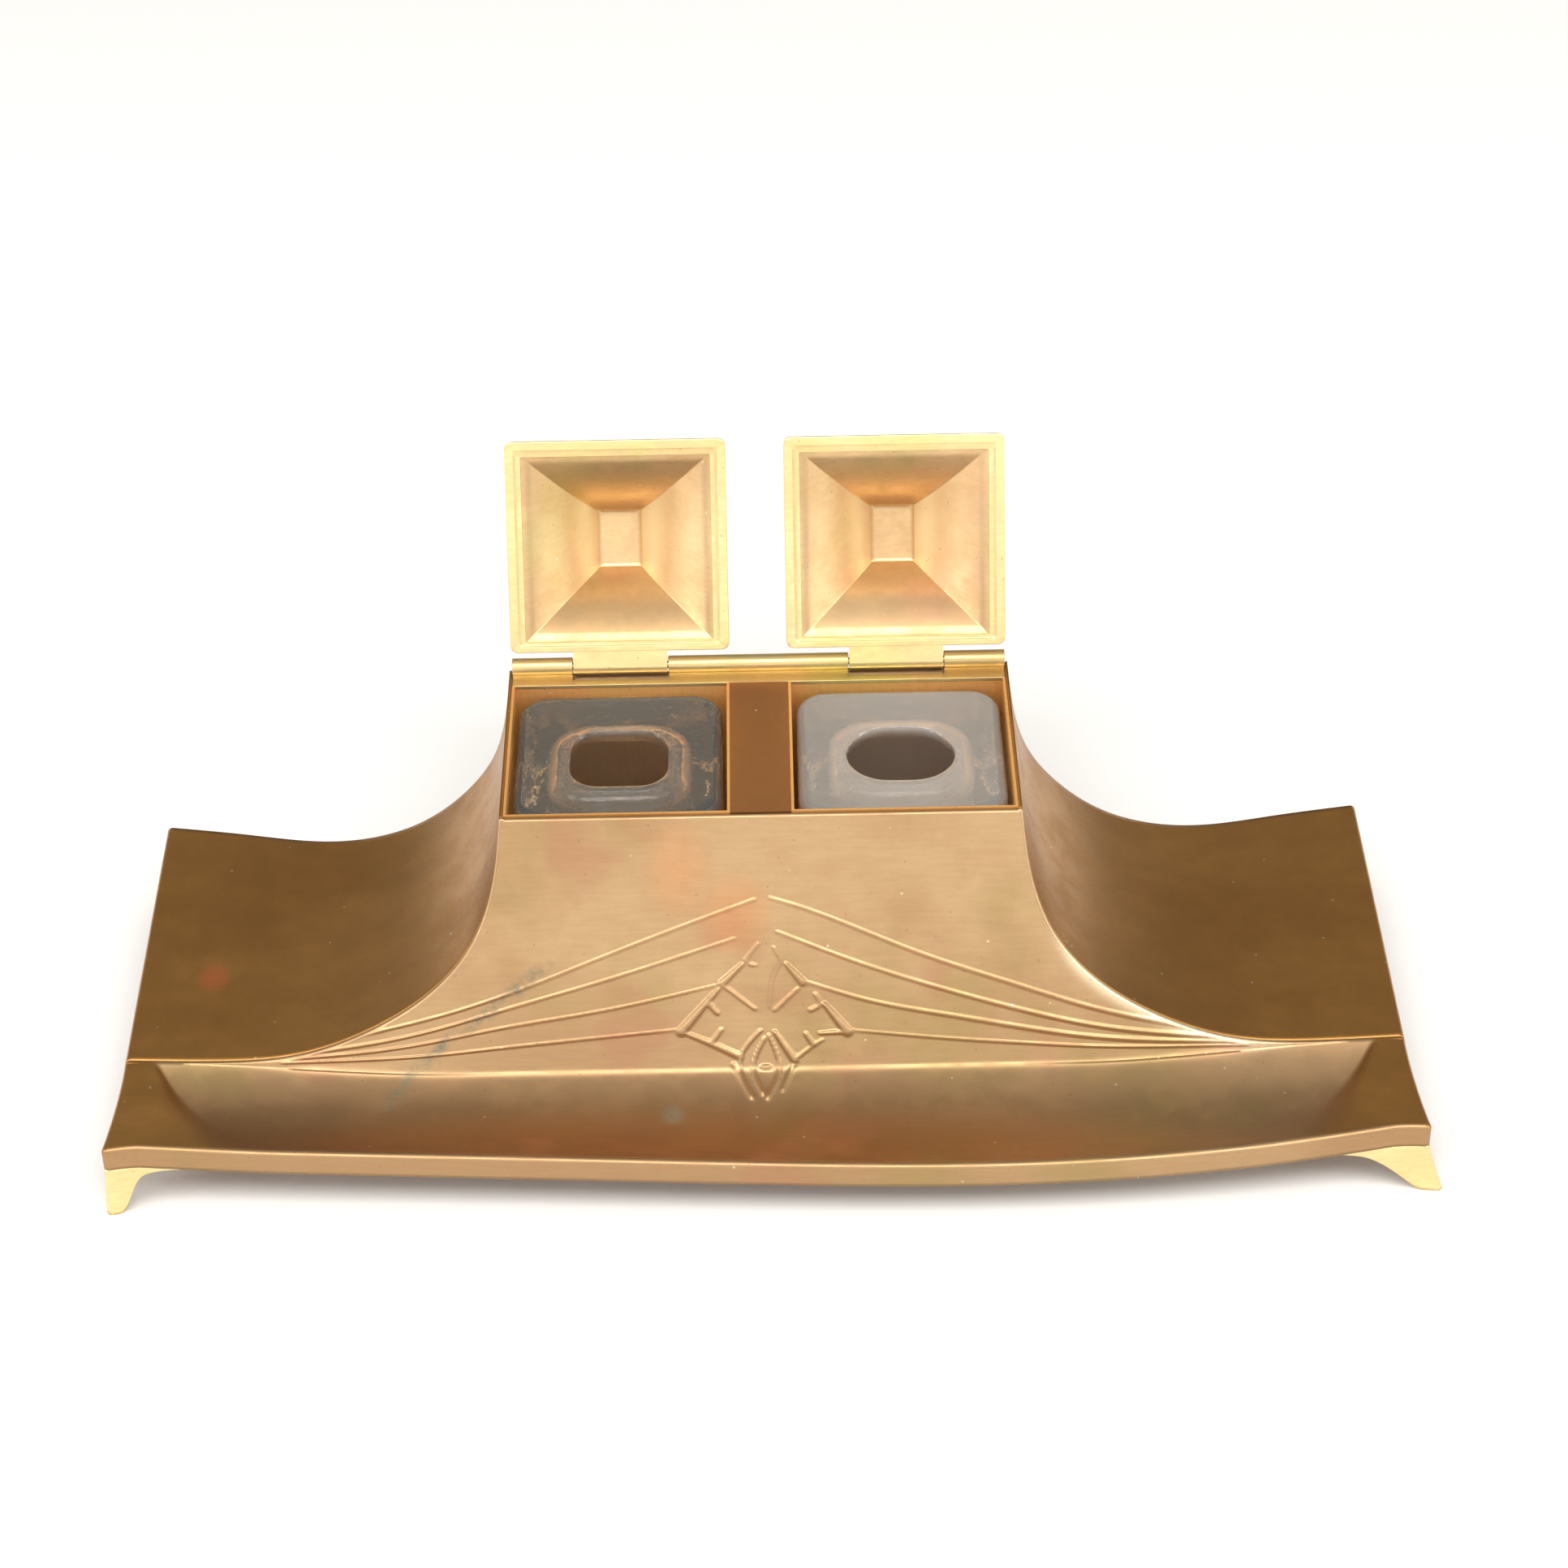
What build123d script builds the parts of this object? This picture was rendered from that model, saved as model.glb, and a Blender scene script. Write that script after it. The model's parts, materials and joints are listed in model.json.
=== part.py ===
from build123d import *
import os
from math import cos, hypot, radians, sin, tan

# A double desk inkstand in thin sheet brass. Two square glass ink pots stand in wells inside
# a raised housing, each under a hinged lid that is shown open. The housing runs out at both
# sides into low saddle-shaped wings and in front into a sloping apron, which ends in a
# shallow pen trough with a turned-down rim. Four bracket feet carry the stand.
# Millimetres. +Z is up, the front faces -Y, and the right-hand side is +X. The origin is on
# the table, under the middle of the box that holds the stand with its lids open.

# ---- Driving sizes ----------------------------------------------------------------------

# Sheet
sheet = 0.8                  # thickness of the body sheets
well_sheet = 0.6             # thickness of the well boxes and the divider

# Wells and the housing round them
well_width = 47.5            # inside, along X
well_length = 46.6           # inside, along Y
well_spacing = 14.4          # between the two wells' inside faces
well_floor_height = 20.4     # table to the floor that a pot stands on
housing_height = 62.0        # table to the housing's top edge
divider_flange = 11.0        # height of the divider's turned-down sides

# Hinge
hinge_setback = 4.6          # well's rear edge to the hinge axis
axis_rise = 2.0              # housing's top edge to the hinge axis
barrel_radius = 2.0
pin_radius = 0.8
pin_play = 0.05              # radial clearance in the knuckle that turns
pin_overlap = 6.0            # how far a pin runs into the middle barrel
knuckle_length = 21.0
knuckle_gap = 0.25           # at each end of a knuckle
knuckle_notch = 0.4          # depth of the notch in the rail under a knuckle
rail_thickness = 1.0
rail_overhang = 1.5          # rail and back plate behind the hinge axis
rail_web = 2.6               # width of the foot that carries the fixed barrels

# Lids
lid_width = 49.1
lid_length = 47.5
lid_gap = 3.5                # hinge axis to the lid's rear edge
lid_seat = 0.1               # clearance over the housing when the lid is shut
lid_frame_width = 3.5        # at the front and both sides
lid_rear_frame_width = 2.2   # at the hinge
lid_frame_thickness = 1.2
lid_corner = 1.2             # rounding of the frame's corners
lid_step_width = 1.0         # the small step round the inside of the frame
lid_step_depth = 0.4
lid_rise = 16.8              # top of the frame to the flat on the lid
lid_flat_width = 10.5        # the flat on top
lid_flat_length = 14.0
lid_sheet = 1.0
lid_hollow_sag = 1.6         # how far each side of the lid curves in
lid_flat_inset = 0.6         # inside of the flat, in sheet thicknesses from its outside edge
lid_opening = 115.2          # degrees from shut to the open stop

# Glass ink pots
pot_width = 45.4
pot_length = 45.0
pot_height = 39.6
pot_corner = 7.0
pot_edge = 1.2               # rounding of the top and bottom edges
pot_rim = 3.0                # flat glass round the funnel
pot_funnel = 9.0             # depth from the rim to the mouth
pot_chamber = 33.0
pot_chamber_corner = 11.0
pot_bottom = 6.0             # glass under the ink
pot_shoulder = 5.0           # height over which the chamber narrows to the mouth
pot_neck = 2.5               # height of the mouth's straight part
square_mouth = 21.0          # left pot: square mouth with round corners
square_mouth_corner = 7.0
oval_mouth_width = 24.0      # right pot: oval mouth
oval_mouth_length = 19.0
oval_mouth_straight = 1.0    # straight part of the oval's ends

# Wings. A section runs down the housing side, round a bend and out to the wing's edge.
wing_half_width = 138.2      # middle to the wings' outer edges
wing_steep_drop = 12.0       # housing's top edge to the lower end of its steep part
rear_steep_reach = 1.6       # how far the steep part leans out, at the back
front_steep_reach = 1.9      # the same where the wing meets the slope
wing_bend_reach = 12.0       # housing side to the middle of the bend
wing_bend_height = 27.8      # height there
rear_bend = ((0.43, 9.7), (1.0, 0.0), (2.0, -9.4))       # shares of that reach, and heights
front_bend = ((0.55, 12.0), (1.25, 3.6), (2.2, -2.8))    # over it
wing_dip_reach = 100.0       # middle to the lowest point of the rear edge
wing_dip_height = 13.8       # height of that point
wing_rear_height = 19.0      # outer rear corner
wing_rear_sag = 0.2          # below a straight line, halfway between the two
wing_front_height = 17.8     # outer edge over the fold
wing_front_rise = 1.3        # how much higher the wing stands there at the dip's reach
wing_front_sag = 0.85        # below a straight line, halfway between the two

# Apron slope, pen trough and rim
slope_angle = 59.2           # degrees from level
ridge_height = 14.5          # the fold between slope and trough, in the middle
trough_length = 31.1         # fold to the rim's front, in the middle
trough_sag = 3.4             # floor below the line from fold to rim
trough_margin = 7.2          # trough's end to the wing's outer edge
trough_end_run = 45.0        # length over which the trough runs out at each end
trough_end_sag = 0.15        # sag left there
rim_height = 16.0            # crest of the rim in the middle
rim_corner_height = 17.4     # crest at the corners
rim_face = 5.6               # height of the turned-down edge
rim_bow = 6.2                # how far the rim bows forward of its ends
rim_bow_power = 2.4          # 2 is a parabola, and more is straighter in the middle
corner_overhang = 2.0        # front corners beyond the wings' outer edges
corner_flare = 1.2           # how far a corner runs forward of the rim's ends
side_waist = 0.45            # how far the outer edge bulges between corner and fold
side_lean = 0.12             # outward lean of the edge at the corner, sideways over forward

# Bracket feet
foot_splay = 2.4             # sideways at the bottom
foot_spread = 1.2            # forward or backward at the bottom
foot_thickness = 1.4
foot_top_reach = 20.0        # along the edge where the foot leaves the rim
foot_bottom_reach = 6.5
foot_side_share = 0.8        # reach along the stand's side, over that along its front
foot_tab_height = 3.6        # soldered up behind the turned-down edge
foot_shape = (               # shares of its height, of its extra reach and of its splay
    (1.0, 1.0, 0.0), (0.8, 0.43, 0.1), (0.6, 0.26, 0.3), (0.3, 0.14, 0.6), (0.0, 0.0, 1.0),
)

# ---- Worked out from them ---------------------------------------------------------------

well_middle = (well_spacing + well_width) / 2
housing_half = well_spacing / 2 + well_width + well_sheet + sheet
axis_height = housing_height + axis_rise
trough_reach = wing_half_width - trough_margin
corner_half_width = wing_half_width + corner_overhang
lean = radians(lid_opening - 90)

slope_top = hinge_setback + well_length + well_sheet + sheet / sin(radians(slope_angle))
slope_run = (housing_height - ridge_height) / tan(radians(slope_angle))
front_reach = slope_top + slope_run + trough_length
lid_frame_base = lid_seat - axis_rise
lid_top = lid_frame_base + lid_frame_thickness + lid_rise
window_width = lid_width - 2 * lid_frame_width
window_length = lid_length - lid_frame_width - lid_rear_frame_width
window_middle = lid_gap + lid_rear_frame_width + window_length / 2
rear_reach = (window_middle + lid_flat_length / 2) * sin(lean) + lid_top * cos(lean)

# The stand lies with its open lids centred on the origin.
hinge_y = (front_reach - rear_reach) / 2
back_y = hinge_y + rail_overhang
well_rear = hinge_y - hinge_setback
ridge_y = hinge_y - slope_top - slope_run
rim_y = ridge_y - trough_length
halfway_reach = (wing_dip_reach + wing_half_width) / 2
spare = 6.0                  # how far a form that is cut to fit runs past the cut
fold_spare = 3.0             # the same behind the fold
rim_spare = 1.0              # and in front of the rim
hinge_axis = Axis((0, hinge_y, axis_height), (1, 0, 0))
open_turn = -lid_opening


def slope_y(height, inset=0.0):
    """Y of the slope's outside at a height, or of a sheet face that far inside it."""
    angle = radians(slope_angle)
    return hinge_y - slope_top - (housing_height - height) / tan(angle) + inset / sin(angle)


def blend(share):
    """A smooth step from 0 to 1."""
    share = min(max(share, 0), 1)
    return share * share * (3 - 2 * share)


def fold_height(x):
    """Height of the fold between slope and trough: level, then rising to the wing's edge."""
    level = trough_reach / 2
    rise = blend((abs(x) - level) / (wing_half_width - level))
    return ridge_height + (wing_front_height - ridge_height) * rise


def rim_point(x):
    """Crest of the rim at a station: Y and height."""
    share = min(abs(x) / trough_reach, 1)
    y = rim_y + rim_bow * share ** rim_bow_power
    height = rim_height + (rim_corner_height - rim_height) * share ** 2
    if abs(x) > trough_reach:
        beyond = (abs(x) - trough_reach) / (corner_half_width - trough_reach)
        y -= corner_flare * beyond ** 2
    return y, height


# ---- Envelopes that the sheets are cut from ----------------------------------------------

trough_stations = (0.17, 0.4, 0.62, 0.8, 0.9, 0.97, 1.04)    # sections, as shares of the
rim_stations = (0.35, 0.68, 0.9, 1.0)                        # trough's reach


def wing_profile(steep_reach, bend, dip, sag, edge):
    """Section of a wing, from the housing's top edge out past the wing's own edge."""
    points = [
        (housing_half, housing_height),
        (housing_half + steep_reach, housing_height - wing_steep_drop),
    ]
    for share, height in bend:
        points.append((housing_half + wing_bend_reach * share, wing_bend_height + height))
    halfway = (dip + edge) / 2 - sag
    grade = (edge - halfway) / (wing_half_width - halfway_reach)
    points.append((wing_dip_reach, dip))
    points.append((halfway_reach, halfway))
    points.append((wing_half_width, edge))
    points.append((wing_half_width + spare, edge + spare * grade))
    return points


rear_profile = wing_profile(
    rear_steep_reach, rear_bend, wing_dip_height, wing_rear_sag, wing_rear_height
)
front_profile = wing_profile(
    front_steep_reach, front_bend, wing_front_height + wing_front_rise, wing_front_sag,
    wing_front_height,
)


def inset_profile(points, inset):
    """The same profile that far inside the sheet, square to the line between neighbours."""
    moved = []
    for number, (x, z) in enumerate(points):
        x0, z0 = points[max(number - 1, 0)]
        x1, z1 = points[min(number + 1, len(points) - 1)]
        length = hypot(x1 - x0, z1 - z0)
        moved.append((x + inset * (z1 - z0) / length, z - inset * (x1 - x0) / length))
    return moved


def wing_envelope(inset=0.0, drop=0.0):
    """Everything under the wings and housing walls, as far inside them or below as asked."""
    with BuildPart() as envelope:
        for profile, y in ((rear_profile, back_y + 1), (front_profile, ridge_y - spare)):
            points = inset_profile(profile, inset)
            rise = spare if inset else 0.0
            top = (points[0][0], housing_height + rise)
            with BuildSketch(Plane.XZ.offset(-y)):
                with BuildLine():
                    ends = ((0, -1), Vector(*points[-1]) - Vector(*points[-2]))
                    Spline(*points, tangents=[Vector(*end).normalized() for end in ends])
                    if rise:
                        Line(top, points[0])
                    Line(points[-1], (points[-1][0], -spare))
                    Line((points[-1][0], -spare), (0, -spare))
                    Line((0, housing_height + rise), top)
                    mirror(about=Plane.YZ)
                make_face()
        loft(ruled=True)
    return envelope.part.moved(Location((0, 0, -drop)))


def trough_block(depth, drop=0.0):
    """The trough, its ends and the rim's crest, as a slab that deep, set down if asked.

    It runs on behind the fold and in front of the rim, where it is cut to fit."""
    right = [trough_reach * share for share in trough_stations]
    right.append(corner_half_width + spare)
    with BuildPart() as block:
        for x in [-x for x in reversed(right)] + [0] + right:
            fold = fold_height(x)
            rim = rim_point(x)
            sag = trough_end_sag + trough_sag * blend((trough_reach - abs(x)) / trough_end_run)
            fold_y = slope_y(fold)
            fall = 4 * sag / (fold_y - rim[0])
            rear = (fold_y + fold_spare, fold + fall * fold_spare - drop)
            floor = ((fold_y + rim[0]) / 2, (fold + rim[1]) / 2 - sag - drop)
            crest = (rim[0] - rim_spare, rim[1] - drop)
            with BuildSketch(Plane.YZ.offset(x)):
                with BuildLine():
                    ThreePointArc(rear, floor, crest)
                    Line(crest, (crest[0], crest[1] - depth))
                    ThreePointArc(
                        (crest[0], crest[1] - depth),
                        (floor[0], floor[1] - depth),
                        (rear[0], rear[1] - depth),
                    )
                    Line((rear[0], rear[1] - depth), rear)
                make_face()
        loft()
    return block.part


def plan_block(inset=0.0):
    """The stand's outline seen from above, that far inside its edge, as a tall prism."""
    reaches = [trough_reach * share for share in rim_stations]
    right = [(x, rim_point(x)[0] + inset) for x in reaches]
    left = [(-x, y) for x, y in reversed(right)]
    corner_x = corner_half_width - inset
    side_x = wing_half_width - inset
    corner_y = rim_point(corner_half_width)[0] + inset
    waist = (side_x + side_waist, (corner_y + ridge_y) / 2)
    with BuildPart() as block:
        with BuildSketch(Plane.XY.offset(-spare)):
            with BuildLine():
                Spline((-corner_x, corner_y), *left, (0, rim_y + inset), *right,
                       (corner_x, corner_y))
                for side in (-1, 1):
                    Spline(
                        (side * corner_x, corner_y),
                        (side * waist[0], waist[1]),
                        (side * side_x, ridge_y),
                        tangents=((-side * side_lean, 1), (0, 1)),
                    )
                    Line((side * side_x, ridge_y), (side * side_x, back_y - inset))
                Line((-side_x, back_y - inset), (side_x, back_y - inset))
            make_face()
        extrude(amount=housing_height + 3 * spare)
    return block.part


def behind_slope(inset):
    """Everything behind a plane that far inside the apron's slope."""
    with BuildPart() as block:
        with BuildSketch(Plane.YZ.offset(-2 * wing_half_width)):
            with BuildLine():
                Polyline(
                    (back_y + spare, -spare),
                    (slope_y(-spare, inset), -spare),
                    (slope_y(housing_height + spare, inset), housing_height + spare),
                    (back_y + spare, housing_height + spare),
                    close=True,
                )
            make_face()
        extrude(amount=4 * wing_half_width)
    return block.part


under_wings = wing_envelope()
inside_wings = wing_envelope(inset=sheet)
plan = plan_block()
inside_plan = plan_block(inset=sheet)
inside_feet = plan_block(inset=sheet + foot_thickness)

# ---- Apron: slope, pen trough and turned-down rim, one pressed sheet ----------------------

with BuildPart() as trough_hollow:
    add(trough_block(2 * rim_face, drop=sheet))
    add(inside_plan, mode=Mode.INTERSECT)

with BuildPart() as trough:
    add(trough_block(rim_face))
    add(plan, mode=Mode.INTERSECT)
    add(behind_slope(sheet / 2), mode=Mode.SUBTRACT)
    add(trough_hollow.part, mode=Mode.SUBTRACT)

with BuildPart() as front_panel:
    lip_height = ridge_height - 1.5 * sheet
    with BuildSketch(Plane.YZ.offset(-wing_half_width)):
        with BuildLine():
            Polyline(
                (slope_y(housing_height), housing_height),
                (slope_y(lip_height), lip_height),
                (slope_y(lip_height, sheet), lip_height),
                (slope_y(housing_height, sheet), housing_height),
                close=True,
            )
        make_face()
    extrude(amount=2 * wing_half_width)
    add(under_wings, mode=Mode.INTERSECT)
    add(trough.part)

# ---- Wings: housing side, saddle and turned-down outer edge, one sheet each ---------------

with BuildPart() as wing_edges:
    add(under_wings)
    add(wing_envelope(drop=rim_face), mode=Mode.SUBTRACT)
    add(plan, mode=Mode.INTERSECT)
    add(inside_plan, mode=Mode.SUBTRACT)
    add(behind_slope(sheet / 2), mode=Mode.INTERSECT)
    with Locations((0, back_y, 0)):
        Box(4 * wing_half_width, 2 * sheet, 4 * housing_height, mode=Mode.SUBTRACT)

with BuildPart() as wing_right:
    add(under_wings)
    add(inside_wings, mode=Mode.SUBTRACT)
    add(plan, mode=Mode.INTERSECT)
    add(behind_slope(sheet), mode=Mode.INTERSECT)
    add(wing_edges.part)
    add(front_panel.part, mode=Mode.SUBTRACT)
    Box(
        2 * wing_half_width, 4 * wing_half_width, 4 * housing_height,
        align=(Align.MIN, Align.CENTER, Align.CENTER), mode=Mode.INTERSECT,
    )

with BuildPart() as wing_left:
    mirror(wing_right.part, about=Plane.YZ)

# ---- Back plate --------------------------------------------------------------------------

with BuildPart() as back_plate:
    low_edge = wing_dip_height - rim_face
    end_edge = wing_rear_height - rim_face
    with BuildSketch(Plane.XZ.offset(-back_y)):
        with BuildLine():
            Line((0, low_edge), (wing_dip_reach, low_edge))
            Spline(
                (wing_dip_reach, low_edge),
                (halfway_reach, (low_edge + end_edge) / 2 - wing_rear_sag),
                (wing_half_width, end_edge),
            )
            Line((wing_half_width, end_edge), (wing_half_width, housing_height))
            Line((wing_half_width, housing_height), (0, housing_height))
            mirror(about=Plane.YZ)
        make_face()
    extrude(amount=sheet)
    add(inside_wings, mode=Mode.INTERSECT)
    with Locations((0, back_y, housing_height - rail_thickness)):
        Box(
            4 * housing_half, 4 * sheet, housing_height,
            align=(Align.CENTER, Align.CENTER, Align.MIN), mode=Mode.SUBTRACT,
        )

# ---- Wells and the divider between them ---------------------------------------------------


def well_box(side):
    middle = (side * well_middle, well_rear - well_length / 2)
    floor = well_floor_height - well_sheet
    rear_top = housing_height - rail_thickness
    with BuildPart() as box:
        with BuildSketch(Plane.XY.offset(floor)):
            with Locations(middle):
                Rectangle(well_width + 2 * well_sheet, well_length + 2 * well_sheet)
        extrude(amount=housing_height - floor)
        with BuildSketch(Plane.XY.offset(well_floor_height)):
            with Locations(middle):
                Rectangle(well_width, well_length)
        extrude(amount=housing_height, mode=Mode.SUBTRACT)
        with Locations((middle[0], well_rear, rear_top)):
            Box(
                2 * well_width, spare, 2 * rail_thickness,
                align=(Align.CENTER, Align.MIN, Align.MIN), mode=Mode.SUBTRACT,
            )
    return box.part


with BuildPart() as well_divider:
    divider_half = well_spacing / 2 - well_sheet
    divider_front = slope_y(housing_height, sheet)
    with BuildSketch(Plane.XZ.offset(-well_rear)):
        with Locations((0, housing_height)):
            Rectangle(2 * divider_half, divider_flange, align=(Align.CENTER, Align.MAX))
        with Locations((0, housing_height - well_sheet)):
            Rectangle(
                2 * (divider_half - well_sheet), divider_flange,
                align=(Align.CENTER, Align.MAX), mode=Mode.SUBTRACT,
            )
    extrude(amount=well_rear - divider_front)

# ---- Hinge rail and pins ------------------------------------------------------------------

rail_half = housing_half - sheet
knuckle_room = knuckle_length + 2 * knuckle_gap
middle_barrel = 2 * well_middle - knuckle_room
end_barrel = rail_half - well_middle - knuckle_room / 2

with BuildPart() as hinge_rail:
    with BuildSketch(Plane.XY.offset(housing_height - rail_thickness)):
        with Locations((0, well_rear)):
            Rectangle(2 * rail_half, back_y - well_rear, align=(Align.CENTER, Align.MIN))
    extrude(amount=rail_thickness)
    for x, length in (
        (-middle_barrel / 2, middle_barrel),
        (-rail_half, end_barrel),
        (rail_half - end_barrel, end_barrel),
    ):
        with BuildSketch(Plane.YZ.offset(x)):
            with Locations((hinge_y, axis_height)):
                Circle(barrel_radius)
                Rectangle(rail_web, axis_rise, align=(Align.CENTER, Align.MAX))
                Circle(pin_radius, mode=Mode.SUBTRACT)
        extrude(amount=length)
    for side in (-1, 1):
        with Locations((side * well_middle, hinge_y, housing_height)):
            Box(
                knuckle_room, 2 * (barrel_radius + knuckle_notch), 2 * knuckle_notch,
                mode=Mode.SUBTRACT,
            )


def hinge_pin(side):
    inner = well_middle - knuckle_room / 2 - pin_overlap
    with BuildPart() as pin:
        with BuildSketch(Plane.YZ.offset(min(side * inner, side * rail_half))):
            with Locations((hinge_y, axis_height)):
                Circle(pin_radius)
        extrude(amount=rail_half - inner)
    return pin.part


# ---- Lids, built shut and turned back to the open stop -------------------------------------

frame_base_height = axis_height + lid_frame_base
frame_top_height = frame_base_height + lid_frame_thickness
lid_top_height = frame_top_height + lid_rise
lid_middle_y = hinge_y - lid_gap - lid_length / 2
window_middle_y = hinge_y - window_middle


def opened(part):
    """A piece of a lid, turned about the hinge from shut to the open stop."""
    return part.rotate(hinge_axis, open_turn)


def lid_frame(side):
    step = 2 * lid_step_width
    with BuildPart() as frame:
        with BuildSketch(Plane.XY.offset(frame_base_height)):
            with Locations((side * well_middle, lid_middle_y)):
                RectangleRounded(lid_width, lid_length, lid_corner)
            with Locations((side * well_middle, window_middle_y)):
                Rectangle(window_width, window_length, mode=Mode.SUBTRACT)
        extrude(amount=lid_frame_thickness)
        with BuildSketch(Plane.XY.offset(frame_base_height)):
            with Locations((side * well_middle, window_middle_y)):
                Rectangle(window_width + step, window_length + step)
        extrude(amount=lid_step_depth, mode=Mode.SUBTRACT)
    return opened(frame.part)


def hollow_middle(foot, head, top):
    """Middle point of a hollow side that runs from the foot up to the flat's edge."""
    rise = top - frame_top_height
    slant = hypot(foot - head, rise)
    across = (foot + head) / 2 - lid_hollow_sag * rise / slant
    return across, (frame_top_height + top) / 2 - lid_hollow_sag * (foot - head) / slant


def lid_cap(side, inset):
    """The lid's hollow-sided form, or the space under a sheet that thick."""
    base = frame_top_height - (lid_frame_thickness if inset else 0)
    top = lid_top_height - inset
    middle = side * well_middle
    front = Plane.XZ.offset(-window_middle_y)
    flank = Plane.YZ.offset(middle)
    with BuildPart() as cap:
        for plane, across, window, flat, mode in (
            (front, middle, window_width, lid_flat_width, Mode.ADD),
            (flank, window_middle_y, window_length, lid_flat_length, Mode.INTERSECT),
        ):
            foot = window / 2 + lid_sheet - inset
            head = flat / 2 - lid_flat_inset * inset
            hollow = hollow_middle(foot, head, top)
            with BuildSketch(plane):
                with BuildLine():
                    for way in (-1, 1):
                        ThreePointArc(
                            (across + way * foot, frame_top_height),
                            (across + way * hollow[0], hollow[1]),
                            (across + way * head, top),
                        )
                        if inset:
                            Line(
                                (across + way * foot, frame_top_height),
                                (across + way * foot, base),
                            )
                    Line((across - head, top), (across + head, top))
                    Line((across - foot, base), (across + foot, base))
                make_face()
            extrude(amount=lid_width, both=True, mode=mode)
    return cap.part


def lid(side):
    with BuildPart() as shell:
        add(lid_cap(side, 0))
        add(lid_cap(side, lid_sheet), mode=Mode.SUBTRACT)
    return opened(shell.part)


def lid_knuckle(side):
    start = side * well_middle - knuckle_length / 2
    with BuildPart() as knuckle:
        with BuildSketch(Plane.YZ.offset(start)):
            with Locations((hinge_y, axis_height)):
                Circle(barrel_radius)
            with Locations((hinge_y - lid_gap, frame_base_height)):
                Rectangle(lid_gap, lid_frame_thickness, align=(Align.MIN, Align.MIN))
            with Locations((hinge_y, axis_height)):
                Circle(pin_radius + pin_play, mode=Mode.SUBTRACT)
        extrude(amount=knuckle_length)
    return opened(knuckle.part)


# ---- Glass ink pots ------------------------------------------------------------------------


def ink_pot(side, mouth):
    middle = (side * well_middle, well_rear - well_length / 2)
    mouth_height = well_floor_height + pot_height - pot_funnel
    neck = mouth_height - pot_neck
    with BuildPart() as pot:
        with BuildSketch(Plane.XY.offset(well_floor_height)):
            with Locations(middle):
                RectangleRounded(pot_width, pot_length, pot_corner)
        extrude(amount=pot_height)
        fillet(pot.faces().filter_by(Axis.Z).edges(), radius=pot_edge)
        with BuildSketch(Plane.XY.offset(mouth_height)):
            with Locations(middle):
                mouth()
        with BuildSketch(Plane.XY.offset(well_floor_height + pot_height)):
            with Locations(middle):
                RectangleRounded(
                    pot_width - 2 * pot_rim, pot_length - 2 * pot_rim, pot_chamber_corner
                )
        loft(mode=Mode.SUBTRACT)
        with BuildSketch(Plane.XY.offset(neck)):
            with Locations(middle):
                mouth()
        extrude(amount=pot_neck, mode=Mode.SUBTRACT)
        with BuildSketch(Plane.XY.offset(neck - pot_shoulder)):
            with Locations(middle):
                RectangleRounded(pot_chamber, pot_chamber, pot_chamber_corner)
        with BuildSketch(Plane.XY.offset(neck)):
            with Locations(middle):
                mouth()
        loft(mode=Mode.SUBTRACT)
        with BuildSketch(Plane.XY.offset(well_floor_height + pot_bottom)):
            with Locations(middle):
                RectangleRounded(pot_chamber, pot_chamber, pot_chamber_corner)
        chamber_height = neck - pot_shoulder - well_floor_height - pot_bottom
        extrude(amount=chamber_height, mode=Mode.SUBTRACT)
    return pot.part


def square_pot_mouth():
    return RectangleRounded(square_mouth, square_mouth, square_mouth_corner)


def oval_pot_mouth():
    corner = (oval_mouth_length - oval_mouth_straight) / 2
    return RectangleRounded(oval_mouth_width, oval_mouth_length, corner)


# ---- Bracket feet --------------------------------------------------------------------------


def foot(side, front):
    """A corner bracket: it hangs from the turned-down edge, narrows and splays outward."""
    if front:
        corner = (corner_half_width, rim_point(corner_half_width)[0])
        top = rim_corner_height - rim_face
        edge_y = rim_point(corner_half_width - foot_top_reach)[0]
    else:
        corner = (wing_half_width, back_y)
        top = wing_rear_height - rim_face
        edge_y = back_y
    inward = 1 if front else -1
    with BuildPart() as bracket:
        for height, widening, splay in foot_shape:
            reach = foot_bottom_reach + (foot_top_reach - foot_bottom_reach) * widening
            x = corner[0] + foot_splay * splay
            y = corner[1] - inward * foot_spread * splay
            end_y = y + (edge_y - corner[1]) * widening
            side_y = y + inward * foot_side_share * reach
            depth = inward * foot_thickness
            with BuildSketch(Plane.XY.offset(top * height)):
                with BuildLine():
                    Polyline(
                        (side * x, y),
                        (side * (x - reach), end_y),
                        (side * (x - reach), end_y + depth),
                        (side * (x - foot_thickness), y + depth),
                        (side * (x - foot_thickness), side_y),
                        (side * x, side_y),
                        close=True,
                    )
                make_face()
        loft()
    with BuildPart() as tab:
        with BuildSketch(Plane.XY.offset(top)):
            with Locations((side * corner[0], corner[1])):
                Rectangle(2 * foot_bottom_reach, 2 * foot_bottom_reach)
        extrude(amount=foot_tab_height)
        add(inside_plan, mode=Mode.INTERSECT)
        add(inside_feet, mode=Mode.SUBTRACT)
    with BuildPart() as whole:
        add(bracket.part)
        add(tab.part)
        add(back_plate.part, mode=Mode.SUBTRACT)
        add(front_panel.part, mode=Mode.SUBTRACT)
        add(wing_edges.part, mode=Mode.SUBTRACT)
    return whole.part


# ---- Write every piece ---------------------------------------------------------------------

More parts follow.
